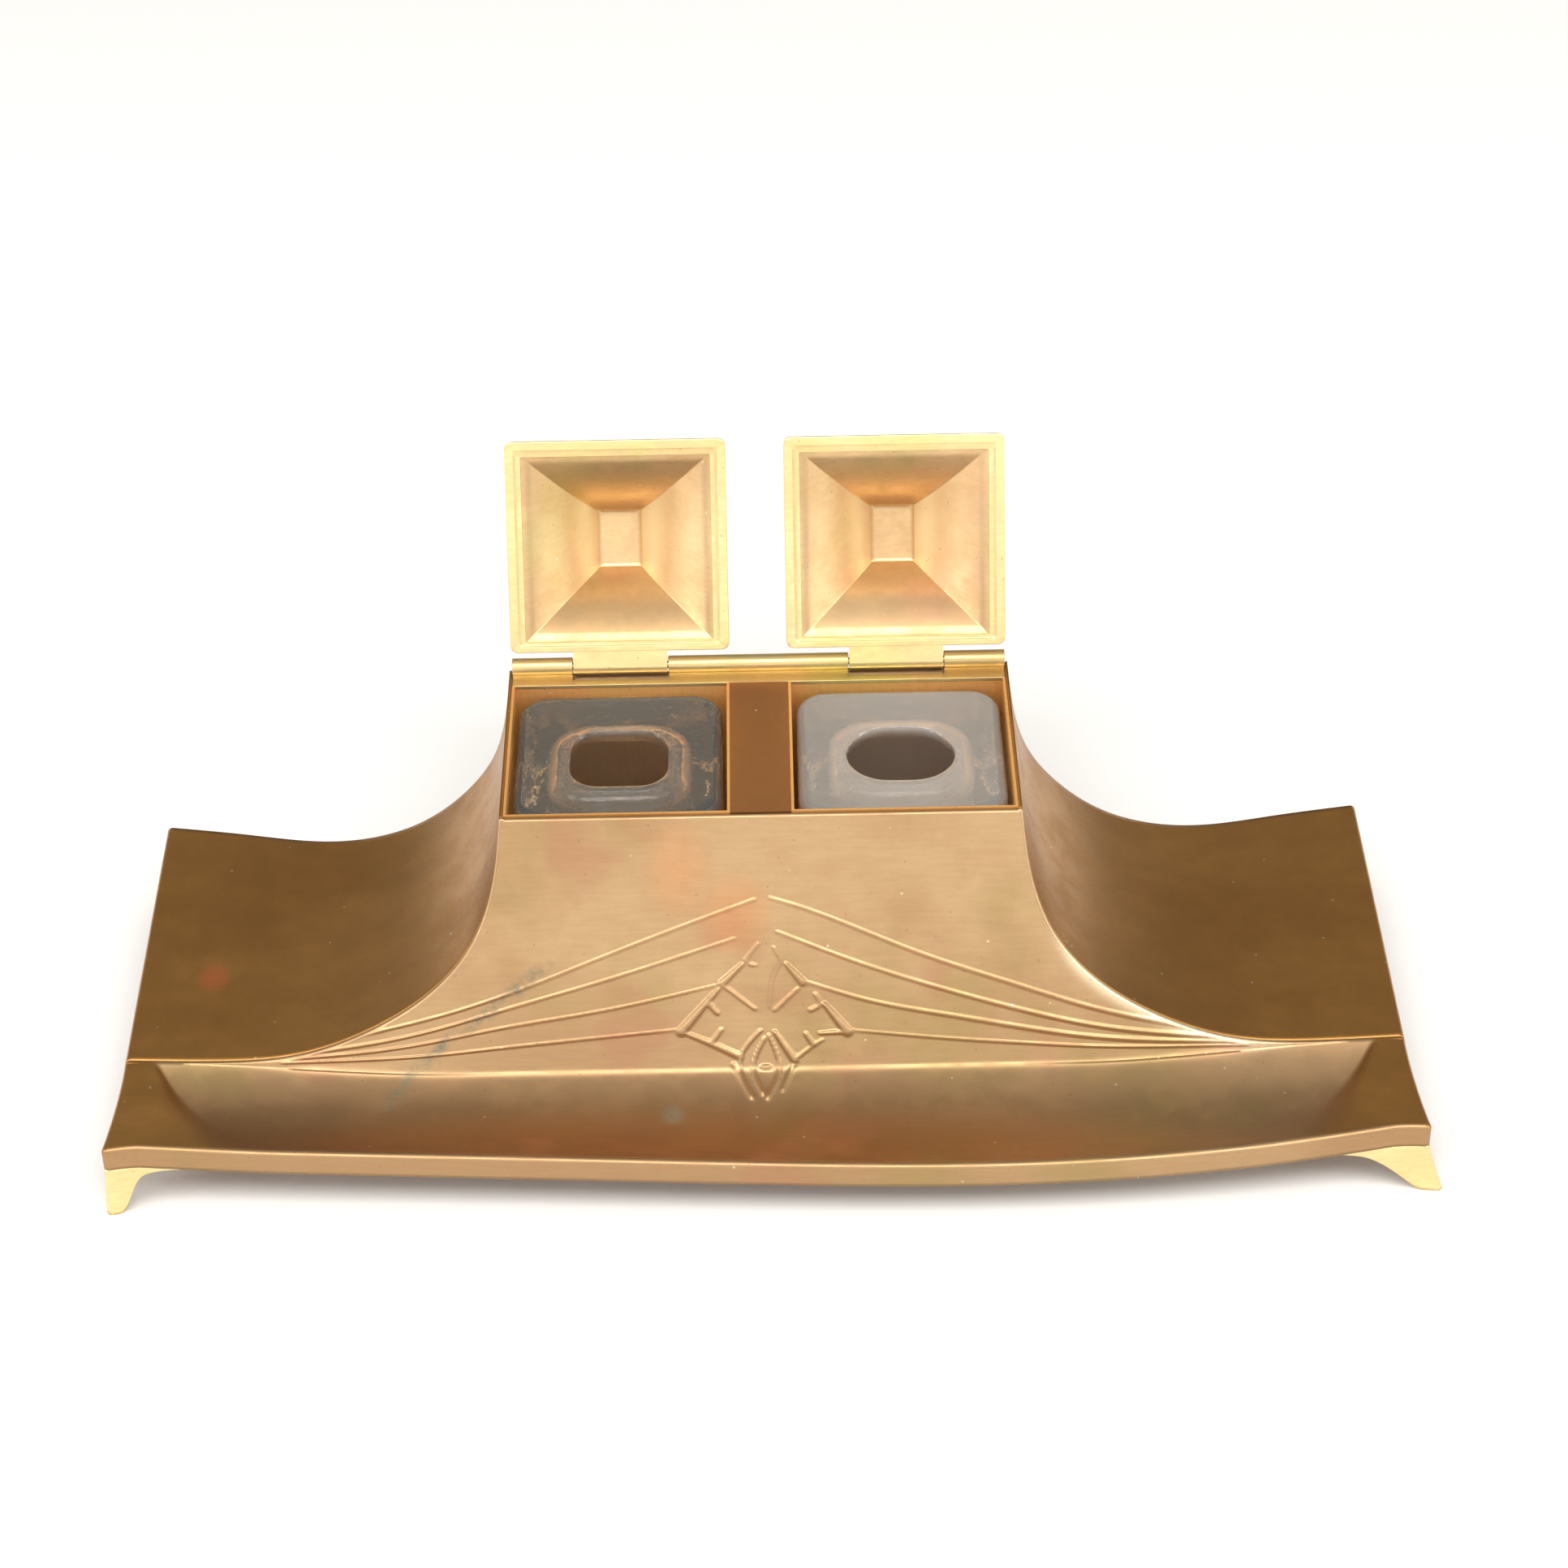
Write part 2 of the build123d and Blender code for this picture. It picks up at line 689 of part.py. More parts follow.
pieces = {
    "front_panel": front_panel.part,
    "wing_left": wing_left.part,
    "wing_right": wing_right.part,
    "back_plate": back_plate.part,
    "well_divider": well_divider.part,
    "hinge_rail": hinge_rail.part,
}
for name, side in (("left", -1), ("right", 1)):
    pieces[f"well_box_{name}"] = well_box(side)
    pieces[f"hinge_pin_{name}"] = hinge_pin(side)
    pieces[f"lid_frame_{name}"] = lid_frame(side)
    pieces[f"lid_{name}"] = lid(side)
    pieces[f"lid_knuckle_{name}"] = lid_knuckle(side)
    pieces[f"foot_front_{name}"] = foot(side, True)
    pieces[f"foot_rear_{name}"] = foot(side, False)
pieces["ink_pot_left"] = ink_pot(-1, square_pot_mouth)
pieces["ink_pot_right"] = ink_pot(1, oval_pot_mouth)

os.makedirs("parts", exist_ok=True)
for name, piece in pieces.items():
    piece.label = name
    export_step(piece, f"parts/{name}.step")
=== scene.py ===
# %% [markdown]
# # A double inkstand in sheet brass
# Two square glass ink pots stand in a raised housing, each under a hinged lid. The housing runs
# out into saddle-shaped wings at both sides and into a sloping apron in front, which ends in a
# pen trough. The solids that carry and join all this are loaded first and never moved. Every
# finished surface below takes its place and size from them.

# %% Load the frame
import json
import math
import bmesh
import bpy
import numpy as np
from mathutils import Matrix, Vector


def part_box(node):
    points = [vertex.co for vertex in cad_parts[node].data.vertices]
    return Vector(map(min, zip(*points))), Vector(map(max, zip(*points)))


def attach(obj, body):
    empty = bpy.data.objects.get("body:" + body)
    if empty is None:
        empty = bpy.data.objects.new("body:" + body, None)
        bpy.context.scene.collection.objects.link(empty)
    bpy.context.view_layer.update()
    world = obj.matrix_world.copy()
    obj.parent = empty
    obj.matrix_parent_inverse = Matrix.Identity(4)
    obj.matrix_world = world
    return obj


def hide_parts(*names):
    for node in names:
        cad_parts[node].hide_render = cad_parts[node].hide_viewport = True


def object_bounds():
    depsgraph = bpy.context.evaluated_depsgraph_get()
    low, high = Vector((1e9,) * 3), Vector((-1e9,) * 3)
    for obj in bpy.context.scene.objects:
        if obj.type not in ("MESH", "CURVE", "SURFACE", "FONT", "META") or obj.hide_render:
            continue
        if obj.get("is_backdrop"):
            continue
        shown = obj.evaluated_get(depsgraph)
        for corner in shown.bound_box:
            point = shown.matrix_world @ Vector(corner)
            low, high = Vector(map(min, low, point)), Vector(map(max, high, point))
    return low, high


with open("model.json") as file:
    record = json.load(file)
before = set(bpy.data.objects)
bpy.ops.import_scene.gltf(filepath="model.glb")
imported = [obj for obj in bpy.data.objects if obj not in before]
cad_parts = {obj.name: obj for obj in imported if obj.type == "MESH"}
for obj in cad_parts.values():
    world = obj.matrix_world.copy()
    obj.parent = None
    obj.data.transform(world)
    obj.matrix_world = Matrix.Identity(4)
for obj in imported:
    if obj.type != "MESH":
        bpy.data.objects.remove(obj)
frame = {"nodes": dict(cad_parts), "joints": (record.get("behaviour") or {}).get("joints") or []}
cad_low, cad_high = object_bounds()
MM = 0.001
print("solids:", len(frame["nodes"]))
print("box in mm:", [round((high - low) / MM, 1) for low, high in zip(cad_low, cad_high)])

# %% [markdown]
# ## The sizes that the surfaces share
# A finished surface has to land on the solid that it dresses. So the places come from the
# solids' own boxes and from the hinge, and only the curves' shapes are written here, in
# millimetres: the section of a wing, the apron's angle and the trough.

# %% Places read from the solids
def low_corner(node):
    return np.array(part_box(node)[0]) / MM


def high_corner(node):
    return np.array(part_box(node)[1]) / MM


SHEET = 0.8  # thickness of the body sheets
SIDES = (-1, "left"), (1, "right")
hinge_y, hinge_z = np.array(frame["joints"][0]["pos_m"])[1:] / MM
housing_height = high_corner("well_divider")[2]
housing_half = high_corner("well_box_right")[0] + SHEET
wing_half = high_corner("back_plate")[0]
back_y = high_corner("back_plate")[1]
corner_half = high_corner("front_panel")[0]
rim_y = low_corner("front_panel")[1]
print("housing", round(housing_half * 2, 1), "wide,", round(housing_height, 1), "high")

# %% The apron's slope and the fold at its foot
SLOPE = math.radians(59.2)
FOLD_HEIGHT, FOLD_END_HEIGHT = 14.5, 17.8  # in the middle, and at the outer edges
slope_up = np.array([0, math.cos(SLOPE), math.sin(SLOPE)])
slope_out = np.array([0, -math.sin(SLOPE), math.cos(SLOPE)])
slope_top_y = low_corner("well_divider")[1] - SHEET / math.sin(SLOPE)
fold_y = slope_top_y - (housing_height - FOLD_HEIGHT) / math.tan(SLOPE)
print("slope from y", round(slope_top_y, 1), "down to the fold at y", round(fold_y, 1))

# %% [markdown]
# A wing's section is a curve through a few measured points. The rear edge dips and rises again,
# while the edge over the fold is almost level. A natural cubic spline passes through such
# points with no visible corners, and both sections are sampled at the same shares, so straight
# lines between them give the saddle.

# %% A smooth curve through points
def smooth_curve(points, shares):
    """Points on a natural cubic spline. Share 2.5 is halfway from point 2 to point 3."""
    p = np.array(points, float)
    last = len(p) - 1
    knots = np.concatenate([[0], np.cumsum(np.linalg.norm(np.diff(p, axis=0), axis=1))])
    step = np.diff(knots)
    system = np.eye(last + 1)
    bend = np.zeros_like(p)
    for i in range(1, last):
        system[i, i - 1:i + 2] = step[i - 1], 2 * (step[i - 1] + step[i]), step[i]
        bend[i] = 6 * ((p[i + 1] - p[i]) / step[i] - (p[i] - p[i - 1]) / step[i - 1])
    curve = np.linalg.solve(system, bend)
    at = np.interp(shares, np.arange(last + 1), knots)
    i = np.clip(np.searchsorted(knots, at, "right") - 1, 0, last - 1)
    a = ((knots[i + 1] - at) / step[i])[:, None]
    b = ((at - knots[i]) / step[i])[:, None]
    pull = (a ** 3 - a) * curve[i] + (b ** 3 - b) * curve[i + 1]
    return a * p[i] + b * p[i + 1] + pull * (step[i] ** 2)[:, None] / 6


# %% The wings' two sections, as distance from the middle and height
bend_x, bend_z = housing_half + 12.0, 27.8
LEVEL_X = 100.0  # where a wing is at its lowest
halfway = (LEVEL_X + wing_half) / 2
rear_section = [
    (housing_half, housing_height), (housing_half + 1.6, 50.0), (housing_half + 5.2, 37.5),
    (bend_x, bend_z), (bend_x + 12.0, 18.4), (LEVEL_X, 13.8), (halfway, 16.2), (wing_half, 19.0),
]
fold_section = [
    (housing_half, housing_height), (housing_half + 1.9, 50.0), (housing_half + 6.6, 39.8),
    (bend_x + 3.0, 31.4), (bend_x + 14.4, 25.0), (LEVEL_X, 19.1), (halfway, 17.6),
    (wing_half, FOLD_END_HEIGHT),
]
rear_section_y = back_y + 1.0
fold_section_y = fold_y - 6.0


def blend(share):
    """A smooth step from 0 to 1."""
    share = np.clip(share, 0, 1)
    return share * share * (3 - 2 * share)


def curved(start, pull, end, t):
    """The way from start to end, bent toward pull."""
    return (1 - t) ** 2 * start + 2 * t * (1 - t) * pull + t * t * end


# %% [markdown]
# ## Making a sheet
# Pressed sheet is a surface with a thickness. Each piece starts as a grid of points on its
# outside, and Solidify gives it the gauge of the brass, inward. Solid pieces get a narrow
# bevel, because it is the rounded edge that catches the light.

# %% Grid, piece and sheet
def grid_faces(rows, columns):
    """The quads of a grid of points stored row by row."""
    corner = np.arange((rows - 1) * (columns - 1))
    corner = corner + corner // (columns - 1)
    return np.stack([corner, corner + 1, corner + columns + 1, corner + columns], axis=1)


def add_piece(name, points, faces, body, slot, material, stands_for, facing=None, gauge=SHEET,
              merge=0.002):
    """A finished piece, from points in millimetres, that rides on a body of the frame.

    With facing it is a sheet, whose outside looks that way. Without it the piece is closed."""
    used = sorted({corner for face in faces for corner in face})
    place = {corner: number for number, corner in enumerate(used)}
    faces = [[place[corner] for corner in face] for face in faces]
    mesh = bpy.data.meshes.new(name)
    mesh.from_pydata((np.asarray(points)[used] * MM).tolist(), [], faces)
    form = bmesh.new()
    form.from_mesh(mesh)
    bmesh.ops.remove_doubles(form, verts=form.verts, dist=merge * MM)
    bmesh.ops.dissolve_degenerate(form, edges=form.edges, dist=0.001 * MM)
    if facing is None:
        bmesh.ops.recalc_face_normals(form, faces=form.faces)
    elif sum(face.calc_area() * face.normal.dot(facing) for face in form.faces) < 0:
        bmesh.ops.reverse_faces(form, faces=form.faces)
    form.to_mesh(mesh)
    form.free()
    mesh.shade_smooth()
    piece = bpy.data.objects.new(name, mesh)
    bpy.context.collection.objects.link(piece)
    mesh.materials.append(material)
    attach(piece, body)
    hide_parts(*stands_for)
    if facing is not None:
        solid = piece.modifiers.new("gauge", "SOLIDIFY")
        solid.thickness, solid.offset = gauge * MM, -1
    print(f"{name}: {len(mesh.polygons)} faces")
    return piece


def add_edge(piece, width, angle=40, segments=2):
    """Rounds the sharp edges, and keeps the flats next to them flat to the light."""
    edge = piece.modifiers.new("edge", "BEVEL")
    edge.width = width * MM
    edge.segments = segments
    edge.limit_method = "ANGLE"
    edge.angle_limit = math.radians(angle)
    edge.harden_normals = True


def paint(piece, layer, values):
    """Stores a number from 0 to 1 at each point, for the material to read."""
    mesh = piece.data
    attribute = mesh.attributes.new(layer, "FLOAT", "POINT")
    attribute.data.foreach_set("value", np.asarray(values, np.float32))


def paint_near(piece, layer, places, values):
    """Paints each point with the value given for the place that it came from."""
    order = [int(((places - point) ** 2).sum(axis=1).argmin()) for point in points_of(piece)]
    paint(piece, layer, values[order])


def points_of(piece):
    """A piece's points in millimetres."""
    found = np.zeros(len(piece.data.vertices) * 3, np.float32)
    piece.data.vertices.foreach_get("co", found)
    return found.reshape(-1, 3) / MM


# %% [markdown]
# ## The camera
# The stand was photographed from a little above, with a long lens, and with the camera turned
# about a degree. The camera was placed by matching the lids, the wells and the feet.

# %% Camera
LENS = 85.395  # mm, on a 36 mm sensor
camera_place = np.array([2.24, hinge_y - 679.32, 553.05])
camera_right = np.array([0.9998, -0.0144, -0.0128])
camera_ahead = np.array([0.0036, 0.7920, -0.6105])
camera_up = np.cross(camera_right, camera_ahead)

lens = bpy.data.cameras.new("camera")
lens.lens, lens.sensor_width = LENS, 36.0
lens.clip_start, lens.clip_end = 0.02, 20.0
camera = bpy.data.objects.new("camera", lens)
turn = Matrix([camera_right, camera_up, -camera_ahead]).transposed().to_4x4()
camera.matrix_world = Matrix.Translation(Vector(camera_place * MM)) @ turn
bpy.context.collection.objects.link(camera)
bpy.context.scene.camera = camera
print("camera", [round(v) for v in camera_place], "mm")

# %% [markdown]
# ## Floor and light
# Polished metal looks like what it reflects. The wings face up and mirror what is behind the
# stand, so a dark card stands there, unseen by the camera itself. The apron faces the camera
# and mirrors a bright soft box above and in front. All else is a pale floor and soft light.

# %% Floor
def plain_plane(name, size, place, turned, color):
    bpy.ops.mesh.primitive_plane_add(size=1)
    plane = bpy.context.object
    plane.name = name
    plane.scale = (*size, 1)
    plane.location, plane.rotation_euler = place, turned
    material = bpy.data.materials.new(name)
    material.use_nodes = True
    shader = material.node_tree.nodes["Principled BSDF"]
    shader.inputs["Base Color"].default_value = (*color, 1)
    shader.inputs["Roughness"].default_value = 0.8
    plane.data.materials.append(material)
    plane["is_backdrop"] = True
    return plane


UPRIGHT = (math.radians(90), 0, 0)
plain_plane("floor", (12, 12), (0, 0, 0), (0, 0, 0), (0.92, 0.915, 0.9))
card = plain_plane("dark_card", (3.2, 1.5), (0, 0.62, 0.77), UPRIGHT, (0.15, 0.145, 0.13))
card.visible_camera = False
card.visible_shadow = False
card.visible_diffuse = False


# %% Soft boxes and room light
def soft_box(name, place, aim, size, power, color=(1, 0.98, 0.95)):
    light = bpy.data.lights.new(name, "AREA")
    light.shape = "RECTANGLE"
    light.size, light.size_y = size
    light.energy, light.color = power, color
    box = bpy.data.objects.new(name, light)
    bpy.context.collection.objects.link(box)
    box.location = place
    box.rotation_euler = (Vector(aim) - Vector(place)).to_track_quat("-Z", "Y").to_euler()


soft_box("top_box", (0, -0.75, 1.35), (0, -0.02, 0.03), (2.0, 0.7), 20, (1, 0.985, 0.96))
soft_box("front_box", (0, -1.7, 0.6), (0, 0, 0.05), (2.4, 0.6), 5)
for name, x, power in (("left_box", -1.2, 5), ("right_box", 1.2, 4.5)):
    soft_box(name, (x, -0.4, 0.55), (0, 0, 0.06), (0.5, 0.7), power)

world = bpy.data.worlds.new("room")
bpy.context.scene.world = world
world.use_nodes = True
room = world.node_tree.nodes["Background"]
room.inputs["Color"].default_value = (1.0, 0.99, 0.97, 1)
room.inputs["Strength"].default_value = 0.62
bpy.context.scene.view_settings.view_transform = "Standard"

# %% [markdown]
# ## Old brass
# Lacquered brass ages unevenly: it browns where it was left alone and stays bright where hands
# and cloths went. The finish mixes two brass tones by broad and by fine noise, then lays on what
# the pieces painted on their points: browned sheet with painted shade in the trough, old lacquer,
# painted highlights, verdigris, grey stains and warm spots. Fine streaks along the sheet roughen it,
# as buffing marks do.

# %% Node helpers
class Shader:
    """A short way to write a material's nodes."""

    def __init__(self, name):
        self.material = bpy.data.materials.new(name)
        self.material.use_nodes = True
        self.nodes = self.material.node_tree.nodes
        self.links = self.material.node_tree.links
        self.surface = self.nodes["Principled BSDF"]
        self.place = self.nodes.new("ShaderNodeTexCoord").outputs["Object"]

    def set(self, **values):
        for name, value in values.items():
            self.surface.inputs[name.replace("_", " ")].default_value = value

    def put(self, value, socket):
        if isinstance(value, bpy.types.NodeSocket):
            self.links.new(value, socket)
        elif isinstance(value, tuple):
            socket.default_value = (*value, 1)
        else:
            socket.default_value = value

    def texture(self, kind, size, stretch=(1, 1, 1)):
        """A pattern's node, with features about that many millimetres across."""
        mapping = self.nodes.new("ShaderNodeMapping")
        mapping.inputs["Scale"].default_value = [1 / (size * MM * s) for s in stretch]
        self.links.new(self.place, mapping.inputs["Vector"])
        pattern = self.nodes.new(kind)
        pattern.inputs["Scale"].default_value = 1.0
        self.links.new(mapping.outputs["Vector"], pattern.inputs["Vector"])
        return pattern

    def noise(self, size, detail, stretch=(1, 1, 1), rough=0.5):
        """Cloudy values."""
        cloud = self.texture("ShaderNodeTexNoise", size, stretch)
        cloud.inputs["Detail"].default_value = detail
        cloud.inputs["Roughness"].default_value = rough
        return cloud.outputs["Fac"]

    def cells(self, size):
        """Distance to the nearest of scattered points."""
        return self.texture("ShaderNodeTexVoronoi", size).outputs["Distance"]

    def spread(self, value, low, high, to_low=0.0, to_high=1.0):
        """Maps a range of values to another, clamped."""
        node = self.nodes.new("ShaderNodeMapRange")
        node.interpolation_type = "SMOOTHSTEP"
        for number, part in enumerate((value, low, high, to_low, to_high)):
            self.put(part, node.inputs[number])
        return node.outputs["Result"]

    def mix(self, share, a, b):
        """Colour a, going over to colour b by the share."""
        node = self.nodes.new("ShaderNodeMix")
        node.data_type = "RGBA"
        self.put(share, node.inputs[0])
        self.put(a, node.inputs[6])
        self.put(b, node.inputs[7])
        return node.outputs[2]

    def math(self, kind, a, b):
        node = self.nodes.new("ShaderNodeMath")
        node.operation = kind
        self.put(a, node.inputs[0])
        self.put(b, node.inputs[1])
        return node.outputs[0]

    def painted(self, layer):
        node = self.nodes.new("ShaderNodeAttribute")
        node.attribute_name = layer
        return node.outputs["Fac"]

    def bump(self, height, distance, strength):
        """Lets heights from 0 to 1 stand that many millimetres proud."""
        node = self.nodes.new("ShaderNodeBump")
        node.inputs["Distance"].default_value = distance * MM
        node.inputs["Strength"].default_value = strength
        self.links.new(height, node.inputs["Height"])
        self.links.new(node.outputs["Normal"], self.surface.inputs["Normal"])

    def finish(self, color, roughness):
        self.put(color, self.surface.inputs["Base Color"])
        self.put(roughness, self.surface.inputs["Roughness"])
        return self.material


# %% The brass finishes
LACQUER, OLD_LACQUER = (0.47, 0.235, 0.066), (0.38, 0.18, 0.046)
WARM_SPOT, GREY_STAIN = (0.68, 0.22, 0.07), (0.36, 0.33, 0.25)
# The second tone is the colour of painted highlights.
BUFFED, HIGHLIGHT_TONE = (0.25, 0.14, 0.06), (1.0, 0.86, 0.6)
VERDIGRIS = (0.13, 0.17, 0.13)
PIT, FLECK, SPOTS = (0.14, 0.09, 0.05), (0.9, 0.85, 0.7), 0.4


def old_brass(name, bright, brown, share=0.5, gloss=0.36, grain=(9, 1, 1), metal=0.85):
    """Brass that goes from a bright tone to a brown one in clouds, with buffing marks."""
    s = Shader(name)

    def midway(tint):
        """The tone between bright and brown, tinted."""
        return tuple(0.5 * (a + b) * c for a, b, c in zip(bright, brown, tint))

    def scaled(value, factor):
        return s.math("MULTIPLY", value, factor)

    clouds = s.spread(s.noise(38, detail=5, stretch=(1.6, 1, 1), rough=0.55), 0.36, 0.66)
    blots = s.spread(s.noise(8, detail=6, rough=0.6), 0.35, 0.7)
    aged = s.math("ADD", scaled(clouds, 0.7 * share), scaled(blots, 0.3 * share))
    # The brown layer: browned sheet, and in the trough painted shade and reflection.
    color = s.mix(s.math("MAXIMUM", aged, s.painted("brown")), bright, brown)
    olive = s.spread(s.noise(30, detail=3, stretch=(1, 1, 1.4)), 0.52, 0.68, 0, 0.4)
    color = s.mix(olive, color, midway((0.85, 1.12, 0.8)))
    rosy = s.spread(s.noise(21, detail=3), 0.56, 0.72, 0, 0.4)
    color = s.mix(rosy, color, midway((1.15, 0.9, 1.1)))
    color = s.mix(s.painted("lacquer"), color, s.mix(clouds, LACQUER, OLD_LACQUER))
    color = s.mix(s.painted("warm"), color, WARM_SPOT)
    streaks = s.noise(0.9, detail=3, stretch=grain, rough=0.7)
    color = s.mix(s.spread(streaks, 0.3, 0.7, 0, 0.12), color, BUFFED)
    # Painted highlights: light that the pieces store on their points, laid on as a bright colour.
    color = s.mix(s.painted("painted_highlight"), color, HIGHLIGHT_TONE)
    crust = s.spread(s.noise(3.2, detail=6, rough=0.7), 0.36, 0.7)
    green = s.math("MULTIPLY", s.painted("verdigris"), crust)
    color = s.mix(green, color, VERDIGRIS)
    color = s.mix(scaled(s.painted("stain"), 0.7), color, GREY_STAIN)
    color = s.mix(s.spread(s.cells(3.4), 0.04, 0.08, SPOTS, 0), color, PIT)
    color = s.mix(s.spread(s.cells(7.0), 0.03, 0.05, SPOTS, 0), color, FLECK)
    rough = s.math("ADD", scaled(streaks, 0.5), scaled(blots, 0.3))
    rough = s.spread(rough, 0.2, 0.6, gloss - 0.04, gloss + 0.08)
    s.set(Metallic=metal)
    s.bump(s.math("ADD", scaled(streaks, 0.3), s.noise(5, detail=2)), 0.04, 0.3)
    return s.finish(color, s.math("ADD", rough, scaled(green, 0.35)))


body_brass = old_brass("body_brass", (0.53, 0.345, 0.18), (0.24, 0.10, 0.03), 0.35)
pale_brass = old_brass("pale_brass", (0.92, 0.72, 0.36), (0.68, 0.47, 0.2), 0.4, 0.34, (4, 1, 1))
rail_brass = old_brass("rail_brass", (0.78, 0.60, 0.28), (0.5, 0.32, 0.12), 0.5, 0.34, (6, 1, 1))
wire_brass = old_brass("wire_brass", (0.70, 0.52, 0.28), (0.5, 0.34, 0.16), 0.3)
lid_brass = old_brass("lid_brass", (0.80, 0.56, 0.30), (0.50, 0.29, 0.12), 0.7, 0.34, (3, 3, 1), 0.8)
copper_brown = old_brass("copper_brown", (0.34, 0.14, 0.04), (0.20, 0.09, 0.035), 0.5, 0.4,
                         (1, 6, 1), 0.6)
amber_brass = old_brass("amber_brass", (0.86, 0.46, 0.15), (0.60, 0.27, 0.07), 0.5, 0.45,
                        (1, 1, 6), 0.5)

# %% [markdown]
# Old pressed glass is thick, with fine waves. The left pot is clear. The right one has gone
# cloudy from years of ink and washing, so its glass is rough and partly milky.

# %% The glass
def pot_glass(name, tint, roughness, milk):
    s = Shader(name)
    s.set(IOR=1.5, Specular_IOR_Level=0.8)
    clear = s.math("SUBTRACT", 1.0, s.math("MULTIPLY", s.painted("milk"), milk))
    s.put(clear, s.surface.inputs["Transmission Weight"])
    s.bump(s.noise(5, detail=3), 0.5, 0.8)
    return s.finish(tint, roughness)


clear_glass = pot_glass("clear_glass", (0.99, 0.97, 0.92), 0.0, 0.07)
cloudy_glass = pot_glass("cloudy_glass", (0.96, 0.92, 0.86), 0.07, 0.24)

# %% [markdown]
# ## A wing
# Straight lines join the rear section to the section over the fold. The apron's slope cuts them
# off, and the cut is the curved edge between wing and apron. The outer edge is turned down
# like a tray's, round a small bend.

# %% The curved edge between wing and apron
EDGE_ROUND = 0.7  # radius of that edge
TURN = 1.3  # radius of the turned-down edges
RIM_FACE = 5.6  # height of the turned-down edges
last_share = 6 + (wing_half - TURN - halfway) / (wing_half - halfway)
edge_shares = np.concatenate([np.linspace(0, 6, 121)[:-1], np.linspace(6, last_share, 61)])
rear_line = smooth_curve(rear_section, edge_shares)
fold_line = smooth_curve(fold_section, edge_shares)


def wing_point(along):
    """Points on the right wing: along is 0 at the rear section and 1 at the fold's."""
    x, z = (rear_line + (fold_line - rear_line) * along[:, None]).T
    return np.stack([x, rear_section_y + (fold_section_y - rear_section_y) * along, z], axis=1)


slope_base = slope_top_y - housing_height / math.tan(SLOPE)
reach = fold_section_y - rear_section_y
drop = (fold_line[:, 1] - rear_line[:, 1]) / math.tan(SLOPE)
edge_along = (slope_base + rear_line[:, 1] / math.tan(SLOPE) - rear_section_y) / (reach - drop)
side_along = edge_along - EDGE_ROUND / abs(reach)
wing_edge, wing_side = wing_point(edge_along), wing_point(side_along)
print("curved edge from", np.round(wing_edge[0], 1), "to", np.round(wing_edge[-1], 1))

# %% Turned-down edges, and feet that grow out of them
TURN_STEPS, FACE_STEPS, FOOT_STEPS = 6, 4, 12
RIM_STEPS = TURN_STEPS + FACE_STEPS


def turned_edge(height, lean, low):
    """Outward distances and heights: round the bend, down the face and down to a foot's end.

    lean is the angle at which the surface rises as it comes to the bend. low is the height of
    the lower edge as a share of the face's lower edge: 0 on the table, 1 where no foot is."""
    angle = np.linspace(-lean, np.full(len(lean), math.pi / 2), TURN_STEPS + 1)[1:]
    out = TURN * (np.sin(angle) + np.sin(lean))
    bend = height - TURN * (np.cos(lean) - np.cos(angle))
    face_end = height + TURN * (1 - np.cos(lean)) - RIM_FACE
    share = np.linspace(0, 1, FACE_STEPS + 1)[1:, None]
    face = bend[-1] + (face_end - bend[-1]) * share
    share = np.linspace(0, 1, FOOT_STEPS + 1)[1:, None]
    foot = face_end * (1 - share * (1 - low))
    flat = np.broadcast_to(out[-1], (FACE_STEPS + FOOT_STEPS, len(height)))
    return np.concatenate([out, flat]), np.concatenate([bend, face, foot])


# %% Wings
def wing(side, name):
    rear_along = (back_y - rear_section_y) / reach
    shares = np.linspace(0, 1, 64)
    grid = np.array([wing_point(rear_along + (side_along - rear_along) * share) for share in shares])
    edge = grid[:, -1]
    out, level = turned_edge(edge[:, 2], np.zeros(len(edge)), np.ones(len(edge)))
    y = np.broadcast_to(edge[:, 1], out.shape)
    skirt = np.stack([edge[:, 0] + out, y, level], axis=2)[:RIM_STEPS].transpose(1, 0, 2)
    grid = np.concatenate([grid, skirt], axis=1)
    grid[:, :, 0] *= side
    faces = grid_faces(*grid.shape[:2])
    return add_piece(f"wing_sheet_{name}", grid.reshape(-1, 3), faces, "stand", "aged_brass",
                     body_brass, [f"wing_{name}"], facing=(0, 0, 1))


wings = [wing(side, name) for side, name in SIDES]

# %% [markdown]
# ## The apron and its ornament
# The apron is one pressed sheet: slope, fold, pen trough and turned-down rim. Its grid has
# a column for each place along the stand, and each column runs from the top edge or the wing's
# edge down the slope, through the trough, over the rim and down its face. A soft maximum
# rounds the fold. Then the ornament is pressed in: ridges that follow drawn strokes, and
# shallow pleats under the long lines that fan out from the flower.

# %% Trough and rim, by distance from the middle
TROUGH_REACH, TROUGH_LENGTH = wing_half - 7.2, 31.0
TROUGH_SAG = 3.4
CREST_HEIGHT = 16.0
RIM_BOW, RIM_SWAY = 6.2, 2.0  # forward in the middle, and from side to side


def fold_at(x):
    level = TROUGH_REACH / 2
    rise = blend((abs(x) - level) / (wing_half - level))
    return FOLD_HEIGHT + (FOLD_END_HEIGHT - FOLD_HEIGHT) * rise


